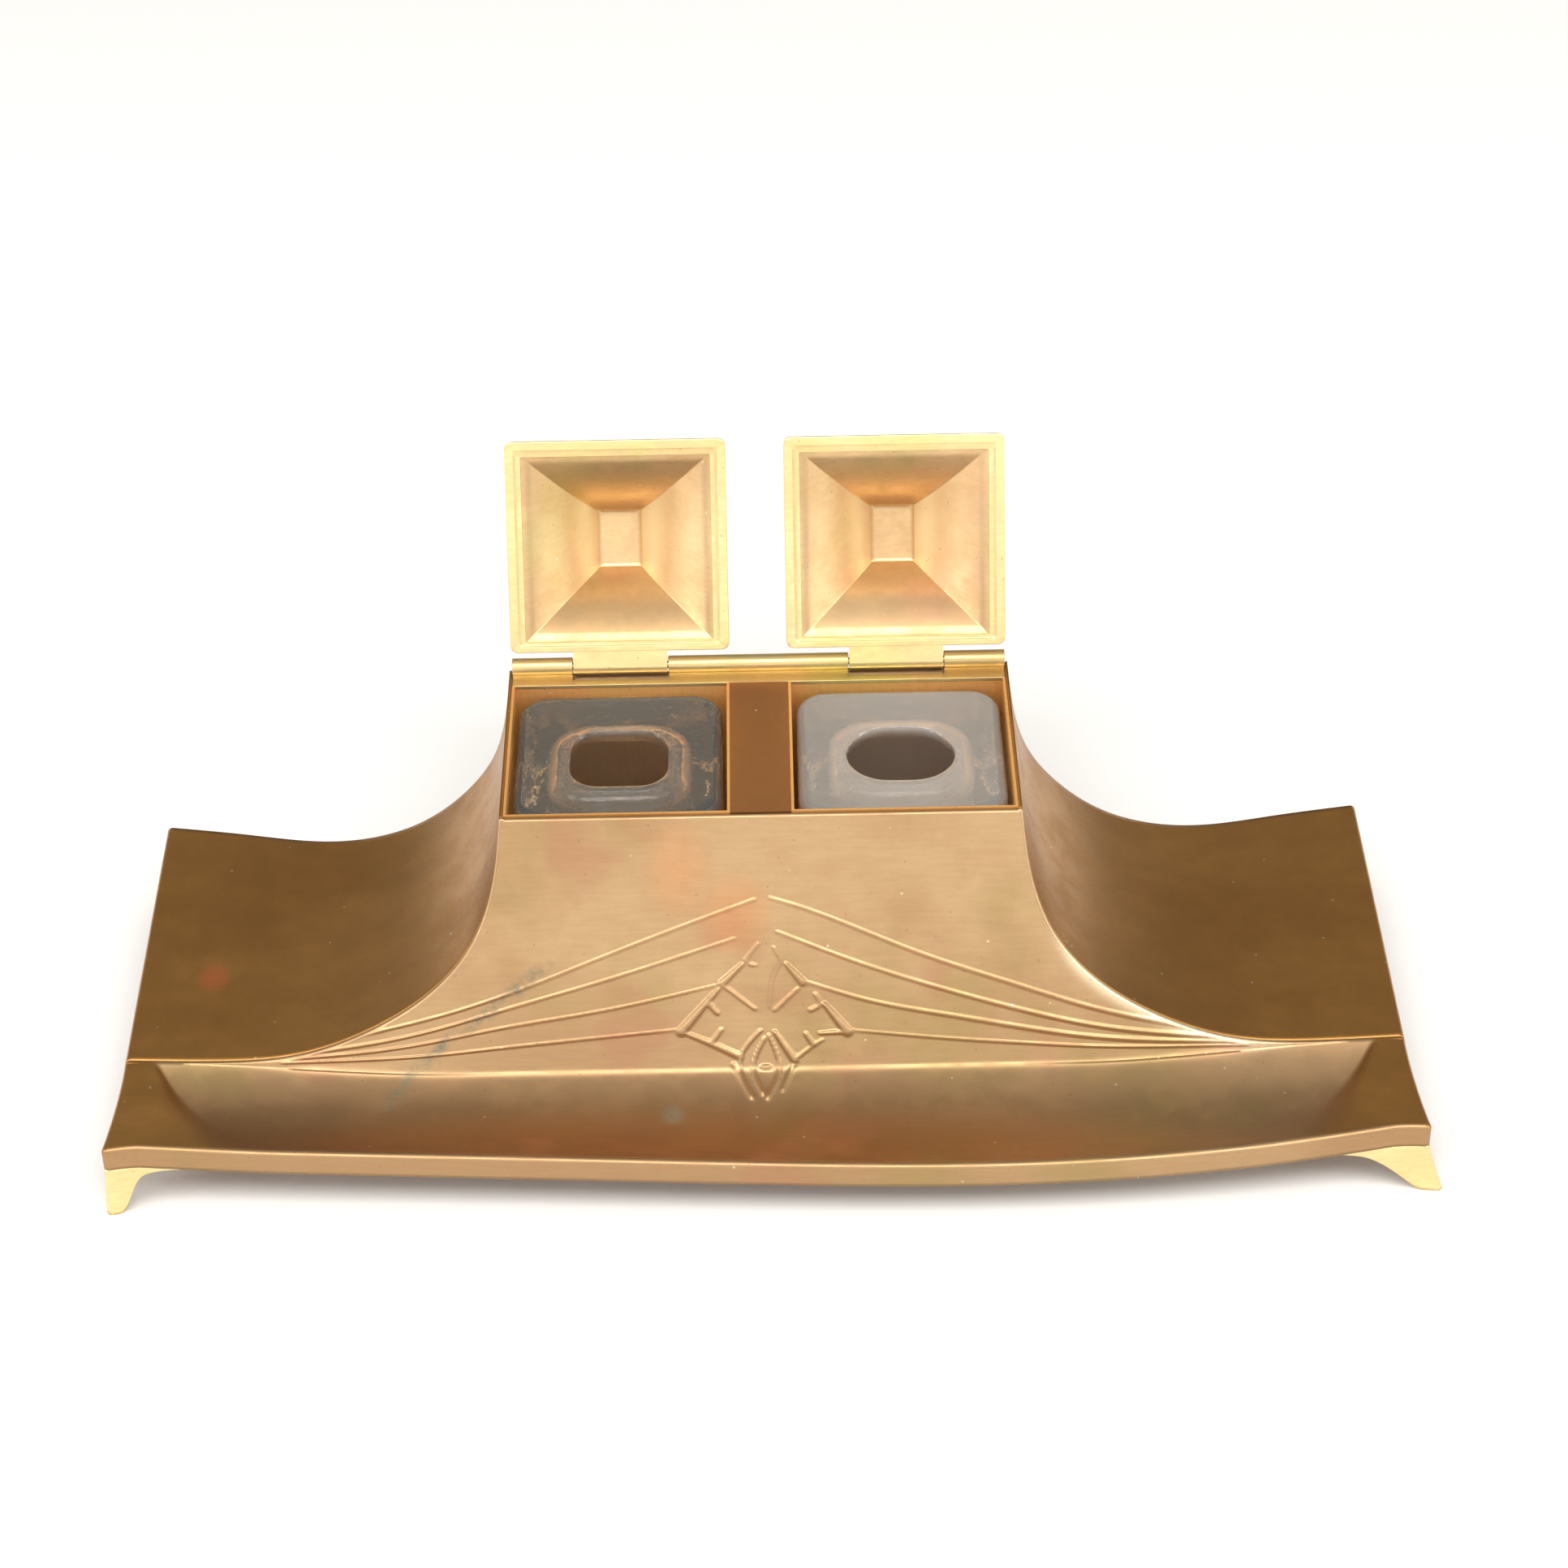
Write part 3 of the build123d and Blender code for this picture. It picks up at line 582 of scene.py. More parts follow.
def crest_at(x):
    """The rim's crest: how far forward and how high. It sways a little, as the real one does."""
    share = np.clip(abs(x) / TROUGH_REACH, 0, 1)
    beyond = np.clip((abs(x) - TROUGH_REACH) / (corner_half - TROUGH_REACH), 0, 1)
    sway = np.sin(np.clip(x / corner_half, -1, 1) * math.pi)
    y = rim_y + RIM_BOW * share ** 2.4 - 1.2 * beyond ** 2 - RIM_SWAY * sway
    return y, CREST_HEIGHT + 1.4 * share ** 2 - 0.55 * sway


def trough_end(ahead):
    """How far from the middle the trough ends, that far ahead of the fold."""
    return TROUGH_REACH + 0.5 - 0.52 * ahead


def trough_sag(x, share, length):
    """How deep the floor sags. It runs out softly toward the trough's ends."""
    width = 1.5 + 40 * share ** 2.2
    return 0.1 + TROUGH_SAG * blend((trough_end(share * length) - abs(x)) / width + 0.5)


def trough_depth(x, share, length):
    """How far the floor lies under the line from fold to crest."""
    return trough_sag(x, share, length) * 4 * share * (1 - share)


def soft(value, radius):
    """The larger of the value and 0, with the corner rounded."""
    return 0.5 * (value + np.sqrt(value * value + radius * radius))


# %% Columns and rows of the apron
edge_tangent = np.gradient(wing_edge, axis=0)
edge_tangent /= np.linalg.norm(edge_tangent, axis=1)[:, None]
inward = np.cross(edge_tangent, slope_out)
inward *= np.sign(-inward[60, 0])
room_left = (wing_edge[:, 2] - fold_at(wing_edge[:, 0])) * 0.45
apron_side = wing_edge + inward * np.clip(room_left, 0, EDGE_ROUND)[:, None]

MIDDLE_COLUMNS = 260  # under the housing
middle_x = np.linspace(-apron_side[0, 0], apron_side[0, 0], MIDDLE_COLUMNS + 2)[1:-1]
column_x = np.concatenate([-apron_side[::-1, 0], middle_x, apron_side[:, 0]])
column_top = np.concatenate(
    [apron_side[::-1, 2], np.full(len(middle_x), housing_height), apron_side[:, 2]]
)
slope_shares = np.concatenate([np.linspace(1, 0.7, 24)[:-1], np.linspace(0.7, 0, 141)])
trough_shares = 1 - (1 - np.linspace(0, 1, 71)[1:]) ** 1.15


def apron_grid():
    """Rows from the top edge to the last one before the rim's bend, as points and as the
    distance up the slope (above 0) or across the trough (below 0)."""
    x = column_x
    foot = np.minimum(fold_at(x), column_top)
    fold = np.stack([x, fold_y + (foot - FOLD_HEIGHT) / math.tan(SLOPE), foot], axis=1)
    crest_y, crest_z = crest_at(x)
    length = (column_top - foot) / math.sin(SLOPE)
    across = np.hypot(fold[:, 1] - crest_y, foot - crest_z)
    radius = 0.9 * blend(length / 3)
    climb = (crest_z - foot + 4 * trough_sag(x, 0.99, across)) / across
    lean = np.arctan(np.clip(climb, 0, 1))
    front = across - TURN * (1 + np.sin(lean))
    top_rise = np.maximum(soft(length, radius), 1e-6)
    distances = [length * share for share in slope_shares]
    distances += [-front * share for share in trough_shares]
    rows = []
    for distance in distances:
        rise = soft(distance, radius) * length / top_rise
        share = soft(-distance, radius) / across
        point = fold + rise[:, None] * slope_up
        point[:, 1] += (crest_y - fold[:, 1]) * share
        point[:, 2] += (crest_z - foot) * share - trough_depth(x, share, across)
        rows.append(point)
    return np.array(rows), np.array(distances), lean


apron, apron_place, crest_lean = apron_grid()
print("apron grid", apron.shape[:2])

# %% The ornament's strokes
# Each stroke: its points (distance from the middle, distance above the fold; below the fold is
# across the trough), its half width at both ends and its height, in millimetres.
FLOWER = [
    ([(-1.0, 27.4), (-4.1, 23.7)], 0.32, 0.60, 0.38),
    ([(-3.6, 24.4), (-3.0, 22.9), (-1.8, 22.6)], 0.47, 0.48, 0.38),
    ([(-4.5, 23.0), (-9.1, 18.7)], 0.53, 1.14, 0.62),
    ([(-8.4, 18.0), (-2.0, 13.0)], 0.58, 0.48, 0.44),
    ([(-9.7, 17.7), (-18.0, 8.4)], 0.53, 1.44, 0.69),
    ([(-12.1, 14.7), (-10.2, 12.3)], 0.89, 0.66, 0.56),
    ([(-18.0, 8.4), (-11.7, 5.7), (-5.4, 2.7)], 0.63, 1.08, 0.44),
    ([(-11.3, 6.2), (-9.4, 8.7)], 0.73, 0.60, 0.50),
    ([(-0.9, 8.4), (-5.4, 2.4), (-3.1, -7.0)], 0.42, 0.66, 0.62),
    ([(-6.8, 1.0), (-3.9, -5.8)], 0.73, 0.48, 0.50),
    ([(-0.1, 6.7), (-2.7, 0.3), (-0.6, -6.1)], 0.47, 0.66, 0.62),
    ([(2.1, 26.6), (3.9, 23.5)], 0.32, 0.54, 0.38),
    ([(3.9, 23.5), (2.0, 20.2), (1.2, 13.4)], 0.42, 0.42, 0.31),
    ([(4.7, 22.9), (8.3, 18.7)], 0.47, 1.20, 0.62),
    ([(7.3, 17.4), (2.2, 12.7)], 0.47, 0.54, 0.44),
    ([(11.0, 16.0), (11.9, 13.9), (9.9, 12.6)], 0.63, 0.66, 0.44),
    ([(12.9, 13.9), (17.8, 7.8)], 0.63, 1.44, 0.69),
    ([(17.8, 7.8), (11.8, 7.5)], 0.84, 0.48, 0.44),
    ([(12.4, 6.1), (9.7, 4.4), (6.7, 2.1)], 0.42, 0.60, 0.38),
    ([(8.8, 7.5), (10.4, 5.1)], 0.63, 0.84, 0.50),
    ([(2.1, 8.0), (6.3, 1.8)], 0.58, 1.20, 0.62),
    ([(0.8, 7.3), (3.0, 0.1), (0.3, -7.1)], 0.42, 0.72, 0.62),
    ([(6.0, 0.6), (3.5, -5.3)], 0.73, 0.48, 0.50),
    ([(-0.6, 0.3), (0.6, 0.3)], 0.73, 0.84, 0.44),
]
FANS = [
    ([(-1.7, 36.9), (-35.0, 24.8), (-56.8, 16.7), (-79.3, 10.2), (-104, 3.6)], 0.50, 0.50, 0.24),
    ([(-6.1, 28.5), (-35.1, 19.6), (-56.9, 13.6), (-80, 7.4), (-104, 2.7)], 0.44, 0.56, 0.24),
    ([(-8.6, 18.8), (-35.2, 13.2), (-57.0, 9.8), (-80, 5.4), (-104, 1.9)], 0.44, 0.50, 0.22),
    ([(-18.2, 8.9), (-35.4, 7.4), (-57.1, 5.5), (-80, 3.3), (-104, 1.2)], 0.39, 0.50, 0.20),
    ([(1.5, 37.2), (7.1, 35.4), (32.7, 24.9), (52.5, 17.9), (70, 12.1), (104, 3.4)], 0.50, 0.87, 0.24),
    ([(3.0, 29.8), (18.9, 23.3), (40.0, 16.2), (66.8, 8.9), (104, 2.6)], 0.50, 0.87, 0.26),
    ([(8.8, 18.9), (22.3, 14.5), (40.3, 10.8), (58.4, 7.4), (104, 1.9)], 0.55, 0.87, 0.24),
    ([(18.2, 8.1), (36.7, 6.1), (60.0, 4.2), (104, 1.2)], 0.39, 0.62, 0.18),
]


PLEAT_DEPTH = 0.24


def stroke_relief(strokes, x, v):
    """Height of the ridges that follow the strokes."""
    height = np.zeros_like(x)
    for points, start, end, peak in strokes:
        line = smooth_curve(points, np.linspace(0, len(points) - 1, 8 * len(points)))
        margin = max(start, end) + 0.1
        low, high = line.min(0) - margin, line.max(0) + margin
        near = (x > low[0]) & (x < high[0]) & (v > low[1]) & (v < high[1])
        px, pv = x[near], v[near]
        best = np.zeros(len(px))
        for number, (a, b) in enumerate(zip(line[:-1], line[1:])):
            run = b - a
            t = np.clip(((px - a[0]) * run[0] + (pv - a[1]) * run[1]) / (run @ run), 0, 1)
            away = np.hypot(px - a[0] - t * run[0], pv - a[1] - t * run[1])
            width = start + (end - start) * (number + t) / (len(line) - 1)
            best = np.maximum(best, np.clip(1 - (away / width) ** 2, 0, 1) ** 1.5)
        height[near] = np.maximum(height[near], peak * best)
    return height


def pleats(x, v):
    """Shallow hollows that start under each fan line and run out downward."""
    depth = np.zeros_like(x)
    for points, _, _, _ in FANS:
        line = smooth_curve(points, np.linspace(0, len(points) - 1, 60))
        line = line[np.argsort(line[:, 0])]
        below = np.interp(x, line[:, 0], line[:, 1]) - v
        fade = blend((x - line[0, 0]) / 8) * blend((line[-1, 0] - x) / 8)
        fall = np.exp(-np.maximum(below, 0) / 2.2) * (1 - np.exp(-np.maximum(below, 0) / 0.35))
        depth += fall * fade
    return PLEAT_DEPTH * depth


# %% Press the ornament in
def grid_normals(grid):
    """Outward direction at each point of a grid."""
    normal = np.cross(np.gradient(grid, axis=0), np.gradient(grid, axis=1))
    normal /= np.maximum(np.linalg.norm(normal, axis=2), 1e-9)[:, :, None]
    return normal * np.sign(normal @ (0, -0.5, 1) + 1e-9)[:, :, None]


across_x = np.broadcast_to(column_x, apron_place.shape)
ridges = np.maximum(stroke_relief(FLOWER, across_x, apron_place),
                    stroke_relief(FANS, across_x, apron_place))
relief = ridges - np.where(apron_place > 0, pleats(across_x, apron_place), 0)
apron += grid_normals(apron) * relief[:, :, None]
print("relief from", round(relief.min(), 2), "to", round(relief.max(), 2), "mm")

# %% [markdown]
# ## Rim and front feet
# The rim's face and the two front feet are one bright, continuous surface. So the feet are
# drawn with the rim: the same columns run on below its lower edge, down to a line that gives
# the foot's outline. Then the faces below the rim become the feet's own pieces.

# %% A foot's outline: distance from its corner, and height as a share of the rim's lower edge
FOOT_LINES = {
    -1: [(3.0, 0), (4.4, 0.10), (5.6, 0.34), (6.5, 0.56), (7.7, 0.75), (9.6, 0.87), (12.5, 0.95),
         (17.0, 1)],
    1: [(3.6, 0), (5.6, 0.06), (7.2, 0.22), (8.8, 0.42), (10.5, 0.60), (12.6, 0.77), (15.2, 0.9),
        (19.0, 1)],
}
SPLAY = {-1: 0.7, 1: 3.6}  # how far a foot leans out sideways
SPREAD = 1.2  # and forward
FOOT_TOP = 11.8  # height of the rim's lower edge at the corners
FEET_FROM, FEET_BEFORE = 110.0, -44.0  # the feet lie further out, and before this y
FLARE_FROM = 90.0  # from here out the front corners flare


def foot_low(side, away):
    line = smooth_curve(FOOT_LINES[side], np.linspace(0, 7, 60))
    return np.clip(np.interp(away, line[:, 0], line[:, 1]), 0, 1)


# %% Apron: rounded upper edges, rim, corners and feet
def with_edges(grid):
    """The grid with its rounded upper edges, turned-down rim and sides, and feet."""
    count = len(apron_side)
    upper = []
    for share in np.linspace(1, 0, 6)[:-1]:
        curve = curved(apron_side, wing_edge, wing_side, share)
        upper.append(np.concatenate([curve[::-1] * [-1, 1, 1], grid[0, count:-count], curve]))
    grid = np.concatenate([upper, grid])
    flare = blend((abs(grid[:, :, 0]) - FLARE_FROM) / (wing_half - FLARE_FROM))
    ahead = np.clip((fold_y - grid[:, :, 1]) / (fold_y - rim_y - 5), 0, 1)
    grid[:, :, 0] *= 1 + flare * (corner_half / wing_half - 1) * ahead ** 1.8
    front = grid[-1]
    steps, rows, columns = RIM_STEPS + FOOT_STEPS, *grid.shape[:2]
    away = corner_half - abs(front[:, 0])
    low = np.where(front[:, 0] < 0, foot_low(-1, away), foot_low(1, away))
    out, level = turned_edge(front[:, 2], crest_lean, low)
    whole = np.zeros((rows + steps, columns + 2 * steps, 3))
    whole[:rows, steps:-steps] = grid
    below = [np.broadcast_to(front[:, 0], out.shape), front[:, 1] - out, level]
    whole[rows:, steps:-steps] = np.stack(below, axis=2)
    ring = np.zeros(whole.shape[:2], int)
    ring[rows:] = np.arange(1, steps + 1)[:, None]
    for side, column in ((-1, 0), (1, -1)):
        edge = grid[:, column]
        away = (edge[:, 1] - (front[column, 1] - out[-1, column])) / 0.8
        side_out, side_level = turned_edge(edge[:, 2], 0 * away, foot_low(side, away))
        at = np.arange(steps - 1, -1, -1) if side < 0 else columns + steps + np.arange(steps)
        whole[:rows, at, 0] = (edge[:, 0] + side * side_out).T
        whole[:rows, at, 1] = edge[:, 1][:, None]
        whole[:rows, at, 2] = side_level.T
        ring[:rows, at] = np.arange(1, steps + 1)
        for i in range(steps):
            for j in range(steps):
                k = max(i, j)
                turn = (j + 0.5 if i == k else 2 * k - i + 1.5) / (2 * k + 2) * math.pi / 2
                across = math.cos(turn)
                spread = TURN
                if k < TURN_STEPS:
                    spread = out[k, column] + (side_out[k, -1] - out[k, column]) * across
                height = level[k, column] + (side_level[k, -1] - level[k, column]) * across
                x = edge[-1, 0] + side * spread * across
                y = edge[-1, 1] - max(spread, out[k, column]) * math.sin(turn)
                whole[rows + j, at[i]] = x, y, height
                ring[rows + j, at[i]] = k + 1
    return whole, ring


def splayed(points):
    """Leans the feet outward below the rim's face."""
    side = np.where(points[..., 0] < 0, -1, 1)
    below = np.clip(1 - points[..., 2] / FOOT_TOP, 0, 1) ** 1.2
    near = blend((abs(points[..., 0]) - 118) / 18) * blend((-45 - points[..., 1]) / 14)
    lean = below * near
    points = points.copy()
    points[..., 0] += side * np.where(side < 0, SPLAY[-1], SPLAY[1]) * lean
    points[..., 1] -= SPREAD * lean
    return points


whole, ring = with_edges(apron)
whole = np.where(ring[:, :, None] > RIM_STEPS, splayed(whole), whole)
points = whole.reshape(-1, 3)
quads = grid_faces(*whole.shape[:2])
outermost = ring.reshape(-1)[quads].max(axis=1)
apron_sheet = add_piece("apron", points, quads[outermost <= RIM_STEPS], "stand", "aged_brass",
                        body_brass, ["front_panel"], facing=(0, -0.5, 1), merge=0.05)
middle = points[quads].mean(axis=1)
tall = np.ptp(points[quads][:, :, 2], axis=1)  # none past a foot's outline
for side, name in SIDES:
    at_corner = (middle[:, 0] * side > FEET_FROM) & (middle[:, 1] < FEET_BEFORE)
    foot_quads = quads[(outermost > RIM_STEPS) & at_corner & (tall > 0.01)]
    add_piece(f"front_foot_{name}", points, foot_quads, "stand", "bright_brass", pale_brass,
              [f"foot_front_{name}"], facing=(side * 0.5, -1, 0), gauge=1.4, merge=0.02)

# %% [markdown]
# ## Where the brass is brown, and painted shade in the trough
# The wings and the trough's ends are deep brown. The floor of the trough is painted darker toward
# the rim, as painted shade and reflection, while the slope and the rim's face stay light. A painted
# highlight runs along the right wing's curved edge. A few marks tell the stand's age: an orange
# spot on the left wing, a streak of verdigris across the left lines and a grey ring in the trough.
# All are stored on the points, and the finish reads them.

# %% Paint the body
# Warm marks: strength, centre and radii, seen from above. The streak of verdigris: distance from
# the middle, and distance up the slope.
WARM_MARKS = [(1, (-122, -9), (4.0, 5.5)), (0.3, (-6, -22), (9, 5)), (0.25, (-18, -17), (8, 6))]
GREEN_STREAK = [(-47, 23), (-60, 13), (-74, 2.6), (-81, -8)]


def patch(p, centre, radii):
    """1 at the centre, falling to 0 at the radii."""
    away = ((p - centre) / radii) ** 2
    return np.clip(1 - away.sum(axis=1), 0, 1)


def trough_place(x, y):
    """Share of the way from fold to crest, how far inside the trough's ends, and the fold's y."""
    crest_y, _ = crest_at(x)
    start = fold_y + (fold_at(x) - FOLD_HEIGHT) / math.tan(SLOPE)
    share = np.clip((start - y) / (start - crest_y), 0, 1)
    room = trough_end(share * TROUGH_LENGTH) - abs(x)
    return share, blend(room / (2 + 14 * share) + 0.5), start


def paint_body(piece, wing_share):
    p = points_of(piece)
    share, inside, start = trough_place(p[:, 0], p[:, 1])
    face = blend((share - 0.93) / 0.05)
    in_trough = blend((start - p[:, 1]) / 1.5)
    # Painted shade and reflection: the trough floor is painted darker toward the rim and lighter
    # toward the right, and light again on the rim's face.
    floor = (0.34 + 0.5 * blend((share - 0.1) / 0.75)) * (1 - 0.4 * blend((p[:, 0] - 10) / 70))
    outside = np.where(abs(p[:, 0]) > LEVEL_X, 1 - inside, 0)
    brown = in_trough * (floor + (1 - floor) * outside)
    brown = np.maximum(brown, 0.3 * patch(p[:, :2], (-40, fold_y + 3), (45, 9)))
    paint(piece, "brown", np.where(wing_share, wing_share, brown) * (1 - 0.6 * face))
    paint(piece, "lacquer", np.maximum(wing_share, outside * (1 - face)))
    # A painted highlight along the right wing's curved edge, on the apron only.
    near_edge = away = np.inf
    for point in wing_edge[::2]:
        near_edge = np.minimum(near_edge, ((p - point) ** 2).sum(axis=1))
    along = blend((p[:, 0] - 60) / 8) * blend((118 - p[:, 0]) / 25)
    paint(piece, "painted_highlight", np.where(wing_share, 0, 0.75 * np.exp(-near_edge / 3.2) * along))
    warm = [strength * patch(p[:, :2], *mark) for strength, *mark in WARM_MARKS]
    paint(piece, "warm", np.max(warm, axis=0))
    place = np.where(p[:, 1] > fold_y, (p[:, 1] - fold_y) / math.cos(SLOPE), p[:, 1] - fold_y)
    for x, v in smooth_curve(GREEN_STREAK, np.linspace(0, 3, 40)):
        away = np.minimum(away, np.hypot(p[:, 0] - x, (place - v) * 1.3))
    paint(piece, "verdigris", np.where(wing_share, 0, np.clip(0.9 - away / 3.0, 0, 1)))
    paint(piece, "stain", patch(p[:, :2], (-20.1, fold_y - 11.5), (2.9, 3.6)))


paint_body(apron_sheet, 0)
for piece in wings:
    paint_body(piece, 1)

# %% [markdown]
# ## Lids
# A lid is a hollow pyramid of thin sheet, soldered to a flat frame. Its four sides sag in and
# meet in crisp creases. Both are drawn shut, in the lid's own directions, from the hinge
# forward and up, and then turned to the open stop. Stacked rings make them: a ring is
# a rectangle with round corners at one height.

# %% Rings, and a lid's own directions
OPEN = frame["joints"][0]["range_deg"][1]
well_middle = (low_corner("ink_pot_right")[0] + high_corner("ink_pot_right")[0]) / 2


def rounded_ring(half_x, half_y, radius, level, centre, steps=4):
    """Points round a rectangle with round corners, at that height."""
    points = []
    for number, (side_x, side_y) in enumerate(((1, 1), (-1, 1), (-1, -1), (1, -1))):
        for turn in (np.linspace(0, 1, steps + 1) + number) * math.pi / 2:
            points.append((
                centre[0] + side_x * (half_x - radius) + radius * math.cos(turn),
                centre[1] + side_y * (half_y - radius) + radius * math.sin(turn), level,
            ))
    return points


def stacked(rings, loop=False):
    """Points and faces of rings, with the ends capped or joined to each other."""
    around, count = len(rings[0]), len(rings)
    faces = []
    for k in range(count if loop else count - 1):
        for i in range(around):
            j = (i + 1) % around
            a, b = k * around, (k + 1) % count * around
            faces.append((a + i, a + j, b + j, b + i))
    if not loop:
        faces.append(tuple(range(around)))
        faces.append(tuple(range((count - 1) * around, count * around)))
    return np.array([p for ring in rings for p in ring]), faces


def opened(points, side):
    """Lid directions (across, forward from the hinge, up) to the stand's, lid open."""
    turn = math.radians(OPEN)
    across, forward, up = np.asarray(points).T
    y = hinge_y - forward * math.cos(turn) + up * math.sin(turn)
    z = hinge_z + forward * math.sin(turn) + up * math.cos(turn)
    return np.stack([side * well_middle + across, y, z], axis=1)


# %% Lid frames
FRAME_TOP, FRAME_BASE = -0.7, -1.9  # heights against the hinge, lid shut
window_half = np.array([42.1, 41.8]) / 2
window_centre = np.array([0, 26.6])
frame_half = np.array([49.1, 47.5]) / 2
frame_centre = np.array([0, 3.5 + frame_half[1]])


def frame_ring(share, level):
    """A ring between the window's edge (share 0) and the frame's outer edge (share 1)."""
    half = window_half + (frame_half - window_half) * share
    centre = window_centre + (frame_centre - window_centre) * share
    return rounded_ring(*half, 0.4 + 1.2 * share, level, centre)


for side, name in SIDES:
    rings = [frame_ring(share, level) for share, level in (
        (0, FRAME_BASE + 0.4), (0, FRAME_TOP), (1, FRAME_TOP), (1, FRAME_BASE + 0.1),
        (0.94, FRAME_BASE), (0.45, FRAME_BASE), (0.28, FRAME_BASE + 0.3),
    )]
    points, faces = stacked(rings, loop=True)
    piece = add_piece(f"lid_flange_{name}", opened(points, side), faces, f"{name}_lid",
                      "bright_brass", pale_brass, [f"lid_frame_{name}"])
    add_edge(piece, 0.22, angle=25, segments=3)

# %% Hollow lids
LID_TOP, LID_SHEET, LID_SAG = 16.1, 1.0, 1.6
flat_half = np.array([10.5, 14.0]) / 2


def hollow_side(foot, head, top, levels):
    """Half widths at those heights of a side that sags in between foot and head."""
    rise = top - FRAME_TOP
    slant = math.hypot(foot - head, rise)
    mid = (foot + head) / 2 - LID_SAG * rise / slant
    mid_level = (FRAME_TOP + top) / 2 - LID_SAG * (foot - head) / slant
    pull = 2 * mid - (foot + head) / 2
    pull_level = 2 * mid_level - (FRAME_TOP + top) / 2
    t = np.linspace(0, 1, 60)
    height = curved(FRAME_TOP, pull_level, top, t)
    return np.interp(levels, height, curved(foot, pull, head, t))


def lid_rings(inset):
    """Rings from the lid's foot to its flat, on the outside or one sheet further in."""
    top = LID_TOP - inset
    levels = FRAME_TOP + (top - FRAME_TOP) * (1 - (1 - np.linspace(0, 1, 18)) ** 1.4)
    feet, heads = window_half + LID_SHEET - inset, flat_half - 0.6 * inset
    sides = np.array([hollow_side(foot, head, top, levels) for foot, head in zip(feet, heads)]).T
    rings = [rounded_ring(*size, 0.3, level, window_centre, 3) for size, level in zip(sides, levels)]
    head = sides[-1]
    rings[-1] = rounded_ring(*head, 0.6, top - 0.1, window_centre, 3)
    for share in (0.86, 0.5):
        rings.append(rounded_ring(*(head * share), 0.8, top, window_centre, 3))
    return rings


for side, name in SIDES:
    rings = lid_rings(0)[::-1] + lid_rings(LID_SHEET)
    points, faces = stacked(rings)
    piece = add_piece(f"lid_shell_{name}", opened(points, side), faces, f"{name}_lid", "lid_brass",
                      lid_brass, [f"lid_{name}"])
    # Painted highlights on the lid's right and left sides toward the flat, stronger on the right.
    shut = np.array([p for ring in rings for p in ring])
    rise = np.clip((shut[:, 2] - FRAME_TOP) / (LID_TOP - FRAME_TOP - 1), 0, 1)
    corner = np.arange(len(shut)) % len(rings[0])
    # Of a ring's 16 points, 15 and 0 end the right side, and 7 and 8 the left.
    glow = np.where(np.isin(corner, (15, 0)), 1.0, np.where(np.isin(corner, (7, 8)), 0.6, 0))
    glow *= blend((rise - 0.3) / 0.6) * (rise < 0.98)
    paint_near(piece, "painted_highlight", opened(shut, side), glow)

# %% [markdown]
# ## Hinges
# Each lid's knuckle is rolled from the end of its frame and turns between barrels that are
# soldered to the rail. Each is an outline pulled along the hinge, with a small bevel.

# %% Bars along the hinge
BARREL, KNUCKLE, KNUCKLE_GAP = 2.0, 21.0, 0.25  # radius, length, and play at each end


def bar(outline, start, end):
    """Points and faces of an outline (back, up) pulled from one place to another."""
    rings = [[(x, y, z) for y, z in outline] for x in (start, end)]
    return stacked(rings)


def joined(parts):
    points, faces, count = [], [], 0
    for part_points, part_faces in parts:
        points.append(part_points)
        faces += [tuple(corner + count for corner in face) for face in part_faces]
        count += len(part_points)
    return np.concatenate(points), faces


def arc(centre, start, end):
    return [(centre[0] + BARREL * math.cos(t), centre[1] + BARREL * math.sin(t))
            for t in np.linspace(start, end, 28)]


# The knuckle's tab ends on the lid's frame. The roll starts and ends where it meets the tab.
tab_end = frame_centre[1] - frame_half[1] + 0.1
outline = [(tab_end, FRAME_TOP), (1.87, FRAME_TOP)] + arc((0, 0), -0.36, 2 * math.pi - 1.25)
outline += [(tab_end, FRAME_BASE)]
for side, name in SIDES:
    points, faces = bar(outline, -KNUCKLE / 2, KNUCKLE / 2)
    piece = add_piece(f"rolled_knuckle_{name}", opened(points, side), faces, f"{name}_lid",
                      "bright_brass", pale_brass, [f"lid_knuckle_{name}"])
    add_edge(piece, 0.2)

# %% Rail with its fixed barrels
rail_half = housing_half - SHEET
rail_front = low_corner("hinge_rail")[1]
room = KNUCKLE / 2 + KNUCKLE_GAP
web = 1.3
web_turn = math.asin(web / BARREL)
barrel = arc((hinge_y, hinge_z), -math.pi / 2 + web_turn, 1.5 * math.pi - web_turn)
barrel += [(hinge_y - web, housing_height - 0.05), (hinge_y + web, housing_height - 0.05)]
bars = [bar(barrel, -well_middle + room, well_middle - room)]
bars += [bar(barrel, -rail_half, -well_middle - room), bar(barrel, well_middle + room, rail_half)]
notch = hinge_y - BARREL - 0.4
plate = [(-rail_half, rail_front), (rail_half, rail_front), (rail_half, back_y)]
for x in (well_middle, -well_middle):
    plate += [(x + room, back_y), (x + room, notch), (x - room, notch), (x - room, back_y)]
plate += [(-rail_half, back_y)]
plate_rings = [[(x, y, z) for x, y in plate] for z in (housing_height - 1.0, housing_height)]
rail = add_piece("rail_and_barrels", *joined(bars + [stacked(plate_rings)]), "stand",
                 "bright_brass", rail_brass, ["hinge_rail"])
add_edge(rail, 0.15)

